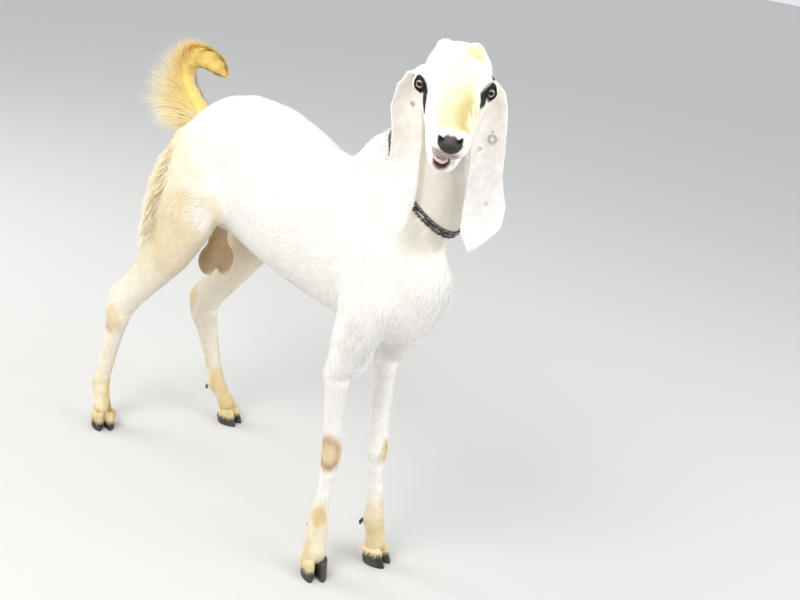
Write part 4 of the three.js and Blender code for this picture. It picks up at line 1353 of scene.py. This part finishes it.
def eyeball(side):
    """A ball with a pale iris, a dark pupil that is a little longer than it is high, and a bulging cornea."""
    gaze = GAZE[side]
    level = unit(np.cross([0.0, 0.0, 1.0], gaze))
    over = np.cross(gaze, level)
    polar = (np.linspace(0, math.pi, RINGS + 1)[:, None] ** 1.25 / math.pi**0.25)[:RINGS]
    turn = np.linspace(0, 2 * math.pi, AROUND, endpoint=False)[None]
    radius = EYE_MM - 0.3 + 0.9 * np.exp(-((polar / 0.50) ** 4))
    local = (
        (radius * np.cos(polar))[..., None] * gaze
        + (radius * np.sin(polar) * np.cos(turn))[..., None] * level
        + (radius * np.sin(polar) * np.sin(turn))[..., None] * over
    )
    local = (local + np.array(EYE_CENTRE[side])).reshape(-1, 3)
    index = np.arange(RINGS * AROUND).reshape(RINGS, AROUND)
    right = np.roll(index, -1, axis=1)
    faces = np.stack([index[:-1], right[:-1], right[1:], index[1:]], -1).reshape(-1, 4)
    arc = np.broadcast_to(polar * EYE_MM, (RINGS, AROUND)).ravel()
    bar = np.hypot(np.sin(polar) * np.cos(turn) / 1.25, np.sin(polar) * np.sin(turn) / 0.9).ravel() * EYE_MM
    spokes = np.broadcast_to(np.sin(turn * 31) * np.sin(turn * 17 + 1), (RINGS, AROUND)).ravel()
    colours = np.tile(EYE_BROWN, (len(local), 1))
    colours = blend(colours, IRIS * (0.92 + 0.12 * spokes[:, None]), smoothstep(*IRIS_EDGE_MM, arc))
    colours = blend(colours, PUPIL, smoothstep(*PUPIL_EDGE_MM, bar))
    obj = mesh_object("eye_ball_" + side, HEAD + local @ HEAD_AXES.T * MM, faces)
    paint(obj, colours)
    make_piece(obj, eye_material(), "eye", "eye_" + side)


def smoothed(name, nodes, voxel, sigma, material, slot):
    """The nodes' own shapes with their facets smoothed away."""
    all_points, all_quads, start = [], [], 0
    for node in nodes:
        grid = Field(*box_of([node], 5 * voxel), voxel)
        grid.values = grid.rasterised(*triangles_of(node), reach=5)
        grid.values = grid.blurred(sigma)
        points, quads = grid.surface()
        all_points.append(points)
        all_quads.append(quads.astype(int) + start)
        start += len(points)
    obj = mesh_object(name, np.vstack(all_points), np.vstack(all_quads))
    make_piece(obj, material, slot, *nodes)


def collar_axes():
    across = unit(np.array([1.0, 0, 0]) - COLLAR_AXIS * COLLAR_AXIS[0])
    return across, np.cross(COLLAR_AXIS, across)


def collar_radius(angles):
    """How far the strap's middle lies from the collar's centre in each direction."""
    grid = Field(*box_of(["collar"], 16 * MM), 1.5 * MM)
    for node in ("collar", "neck"):
        grid.values = np.minimum(grid.values, grid.rasterised(*triangles_of(node), reach=4))
    across, over = collar_axes()
    reach = np.arange(25, 110, 0.5) * MM
    radii = []
    for angle in angles:
        ray = COLLAR_CENTRE + reach[:, None] * (across * math.cos(angle) + over * math.sin(angle))
        radii.append(reach[np.nonzero(grid.at(ray) < 0)[0].max()])
    spectrum = np.fft.rfft(np.array(radii))
    spectrum[9:] = 0
    return np.fft.irfft(spectrum, len(angles))


def swept_strap(name, angles, radii, heights, lifts, material, *replaced):
    """A closed band: its section's heights along the collar's axis and outwards, for each of the angles."""
    across, over = collar_axes()
    out = across[None] * np.cos(angles)[:, None] + over[None] * np.sin(angles)[:, None]
    line = COLLAR_CENTRE + out * radii[:, None]
    grid = line[:, None] + heights[..., None] * COLLAR_AXIS + lifts[..., None] * out[:, None]
    index = np.arange(heights.size).reshape(heights.shape)
    ahead = np.roll(index, -1, axis=0)
    faces = np.stack([index, np.roll(index, -1, axis=1), np.roll(ahead, -1, axis=1), ahead], -1)
    obj = mesh_object(name, grid.reshape(-1, 3), faces.reshape(-1, 4))
    make_piece(obj, material, "strap", *replaced)


# Half the strap's width, and how far each braid lies from its middle.
STRAP_HALF_MM = 7.4
BRAID_HALF_MM = 6.3
BRAID_TURNS = 64


def collar_strap():
    """A flat strap with rounded edges, and along each edge a braid of two strands."""
    angles = np.linspace(0, 2 * math.pi, 720, endpoint=False)
    radii = collar_radius(angles)
    turn = np.linspace(0, 2 * math.pi, 28, endpoint=False)
    height = STRAP_HALF_MM * MM * np.sign(np.cos(turn)) * np.abs(np.cos(turn)) ** 0.35
    lift = -1.4 * MM + 1.5 * MM * np.sign(np.sin(turn)) * np.abs(np.sin(turn)) ** 0.5
    heights, lifts = [np.broadcast_to(row, (len(angles), len(turn))) for row in (height, lift)]
    swept_strap("collar_strap", angles, radii, heights, lifts, strap_material(), "collar")
    steel = metal_material("silver_thread", (0.55, 0.55, 0.53), 0.35)
    turn = np.linspace(0, 2 * math.pi, 8, endpoint=False)[None]
    for name, middle in (("upper", BRAID_HALF_MM), ("lower", -BRAID_HALF_MM)):
        for strand, material in enumerate((strap_material(), steel)):
            twist = (angles * BRAID_TURNS + strand * math.pi)[:, None]
            heights = middle * MM + 0.55 * MM * np.sin(twist) + 0.42 * MM * np.cos(turn)
            lifts = 0.1 * MM + 0.4 * MM * np.cos(twist) + 0.42 * MM * np.sin(turn)
            swept_strap(f"collar_braid_{name}_{strand}", angles, radii, heights, lifts, material)


# ---- the goat ----
TRUNK_LINE = place(-680, 0, 520), place(110, 0, 540)
NECK_LINE = place(-20, 0, 560), place(70, -10, 760)
# Where each leg stands, forward and to the left; and for each pair its coat's slot and the leg's upper end.
FEET_MM = {
    "foreleg_right": (-12, -60),
    "foreleg_left": (8, 62),
    "hindleg_right": (-618, -126),
    "hindleg_left": (-530, 117),
}
LEG_PAIRS = (("foreleg", "coat_white", -20, 500), ("hindleg", "coat_cream", -500, 560))
# Tufts of longer hair: node, middle and half size in mm, length, number, width, way, and how far they lift.
TUFTS = [
    ("foreleg_right", (26, -62, 446), (26, 14, 44), 17, 200, 1.0, (0.0, 0.6, -1), 0.35),
    ("foreleg_right", (14, -64, 404), (18, 14, 26), 14, 120, 1.0, (0.1, 0.6, -1), 0.4),
    ("foreleg_left", (-6, 34, 404), (26, 12, 50), 12, 140, 1.0, (-0.2, -0.3, -1), 0.25),
    ("trunk", (-322, 0, 436), (26, 18, 20), 24, 300, 1.3, (0.35, 0, -1), 0.5),
]


def tufts_on(skin, node, triangles, map_line):
    return [
        long_locks(
            skin, triangles, lambda mm, normals: spot(mm, middle, size), count, length, width, way, map_line,
            lift=lift, droop=0.15, wave=0.06, shade=0.85,
        )
        for name, middle, size, length, count, width, way, lift in TUFTS
        if name == node
    ]


def body_coats(skin, triangles, owners, coat):
    """The coat of the trunk in two halves, and of the neck with its crest."""
    left = skin.points[triangles[:, 0], 1] > STAND[1]
    trunk, bag = np.isin(owners, ["trunk", "scrotum"]), skin.triangles(SCROTUM)
    parts = [body_coat(skin, triangles[trunk & left], TRUNK_LINE)]
    coat_piece("coat_trunk_left", parts, coat, "coat_white")
    parts = [
        body_coat(skin, triangles[trunk & ~left], TRUNK_LINE),
        body_coat(skin, bag, TRUNK_LINE, part=SCROTUM, shorter=0.45),
        *tufts_on(skin, "trunk", triangles[trunk], TRUNK_LINE),
    ]
    coat_piece("coat_trunk_right", parts, coat, "coat_white")
    neck = triangles[np.isin(owners, ["neck", "collar"])]
    mane = long_locks(
        skin, neck, crest, 1800, 24, 1.2, lambda mm, normals: body_way(mm, normals) + [-0.5, 0, 0], NECK_LINE,
        lift=0.32, droop=0.2, wave=0.08, shade=0.93,
    )
    coat_piece("coat_neck", [body_coat(skin, neck, NECK_LINE), mane], coat, "coat_white")


def leg_coats(skin, triangles, owners, coat):
    """The coats of the legs; long locks hang behind the thighs."""
    for pair, slot, hip_forward, hip_height in LEG_PAIRS:
        for side in ("left", "right"):
            node = f"{pair}_{side}"
            part = triangles[owners == node]
            forward, out = FEET_MM[node]
            line = place(forward, out, 0), place(hip_forward, out, hip_height)
            parts = [body_coat(skin, part, line), *tufts_on(skin, node, triangles, line)]
            if pair == "hindleg":
                style = {"segments": 5, "lift": 0.38, "droop": 0.18, "wave": 0.12, "shade": 0.98}
                locks = long_locks(skin, part, thigh_edge, 1500, 52, 1.7, (-0.5, 0, -1.0), line, **style)
                parts.append(locks)
            coat_piece("coat_" + node, parts, coat, slot)


def head_coats(skin, coat):
    """The coats of the head, with longer hair on the nape, and of the ears."""
    nape = long_locks(
        skin, skin.triangles(HEAD_PART), over_collar, 2200, 28, 1.3, (-0.55, -0.1, -0.8), HEAD_LINE,
        lift=0.34, droop=0.22, wave=0.08, shade=0.94,
    )
    coat_piece("coat_head_left", [head_coat(skin, "left")], coat, "coat_white")
    coat_piece("coat_head_right", [head_coat(skin, "right"), nape], coat, "coat_white")
    coat_piece("coat_ears", [ear_coat(skin, side) for side in ("left", "right")], coat, "coat_white")


def build_goat():
    body_field, owner = body_skin()
    head_field, ear_distance = head_skin()
    skin = Skin([body_field, head_field], ear_distance, owner)
    obj = mesh_object("skin", skin.points, skin.quads, skin.normals)
    paint(obj, skin_colours(skin.points, skin.region))
    flesh = [node for node in BODY_NODES if node != "collar"]
    make_piece(obj, skin_material(), "coat_white", *flesh, "tail", "head", "ear_left", "ear_right")

    coat = coat_material()
    triangles = skin.triangles(BODY)
    owners = np.array(BODY_NODES)[node_at(body_field, owner, skin.points)[triangles[:, 0]]]
    body_coats(skin, triangles, owners, coat)
    leg_coats(skin, triangles, owners, coat)
    tail = skin.triangles(TAIL)
    coat_piece("coat_tail", [tail_layer(skin, tail, *layer) for layer in TAIL_LAYERS], coat, "coat_gold")
    head_coats(skin, coat)


def build_details():
    for side in EYE_CENTRE:
        eyeball(side)
    smoothed("tongue_tip", ["tongue"], 0.7 * MM, 1.0 * MM, tongue_material(), "skin_pink")
    horn = horn_material()
    for name, voxel, sigma in (("claws", 0.9 * MM, 1.1 * MM), ("dewclaws", 0.7 * MM, 1.0 * MM)):
        nodes = [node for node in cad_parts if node.startswith(name[:-1] + "_")]
        smoothed(name, nodes, voxel, sigma, horn, "horn")
    collar_strap()
    steel = metal_material("buckle_steel", (0.62, 0.60, 0.56), 0.25)
    leather = strap_material()
    for name, material in (("collar_buckle", steel), ("collar_ring", steel), ("collar_keeper", leather)):
        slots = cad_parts[name].data.materials
        slots.clear()
        slots.append(material)


# ---- floor, light and camera ----
# Each lamp: name, place, size, power and colour.
LAMPS = (
    ("key", (0.5, -2.3, 2.7), 1.7, 60, (1, 0.98, 0.94)),
    ("fill", (2.3, 1.0, 1.6), 2.2, 32, (0.95, 0.97, 1)),
    ("rim", (-2.3, -1.2, 1.9), 1.6, 34, (1, 0.98, 0.95)),
)
LAMPS_AIM = Vector((0, 0, 0.45))


def studio():
    bpy.ops.mesh.primitive_plane_add(size=60, location=(0, 0, 0))
    floor = bpy.context.object
    floor.name = "floor"
    n = Nodes("floor")
    n.set(Base_Color=(0.62, 0.61, 0.59, 1), Roughness=0.9)
    floor.data.materials.append(n.material)

    world = bpy.data.worlds.new("studio")
    bpy.context.scene.world = world
    world.use_nodes = True
    world.node_tree.nodes["Background"].inputs["Color"].default_value = (0.93, 0.96, 1, 1)
    world.node_tree.nodes["Background"].inputs["Strength"].default_value = 0.85
    bpy.context.scene.view_settings.view_transform = "Standard"

    for name, location, size, power, colour in LAMPS:
        light = bpy.data.lights.new(name, "AREA")
        light.shape, light.size, light.energy, light.color = "DISK", size, power, colour
        obj = bpy.data.objects.new(name, light)
        obj.location = location
        obj.rotation_euler = (LAMPS_AIM - obj.location).to_track_quat("-Z", "Y").to_euler()
        bpy.context.scene.collection.objects.link(obj)


CAMERA_PLACE = STAND + np.array([1.13057, -1.13682, 1.0791])
CAMERA_HEADING = math.radians(134.4)
CAMERA_PITCH = 0.34779
CAMERA_ROLL = 0.174889
CAMERA_LENS = 49.37
CAMERA_SENSOR = 36


def camera():
    """A view from the front right and a little above the back, rolled by ten degrees."""
    ahead, side = math.cos(CAMERA_HEADING), math.sin(CAMERA_HEADING)
    drop = math.cos(CAMERA_PITCH)
    view = np.array([ahead * drop, side * drop, -math.sin(CAMERA_PITCH)])
    level = np.array([side, -ahead, 0])
    upright = np.cross(level, view)
    cos, sin = math.cos(CAMERA_ROLL), math.sin(CAMERA_ROLL)
    data = bpy.data.cameras.new("camera")
    data.sensor_width = CAMERA_SENSOR
    data.lens = CAMERA_LENS
    turn = np.eye(4)
    turn[:3, 0], turn[:3, 1], turn[:3, 2] = level * cos + upright * sin, upright * cos - level * sin, -view
    turn[:3, 3] = CAMERA_PLACE
    obj = bpy.data.objects.new("camera", data)
    obj.matrix_world = Matrix(turn.tolist())
    bpy.context.scene.collection.objects.link(obj)
    bpy.context.scene.camera = obj


build_goat()
build_details()
studio()
camera()
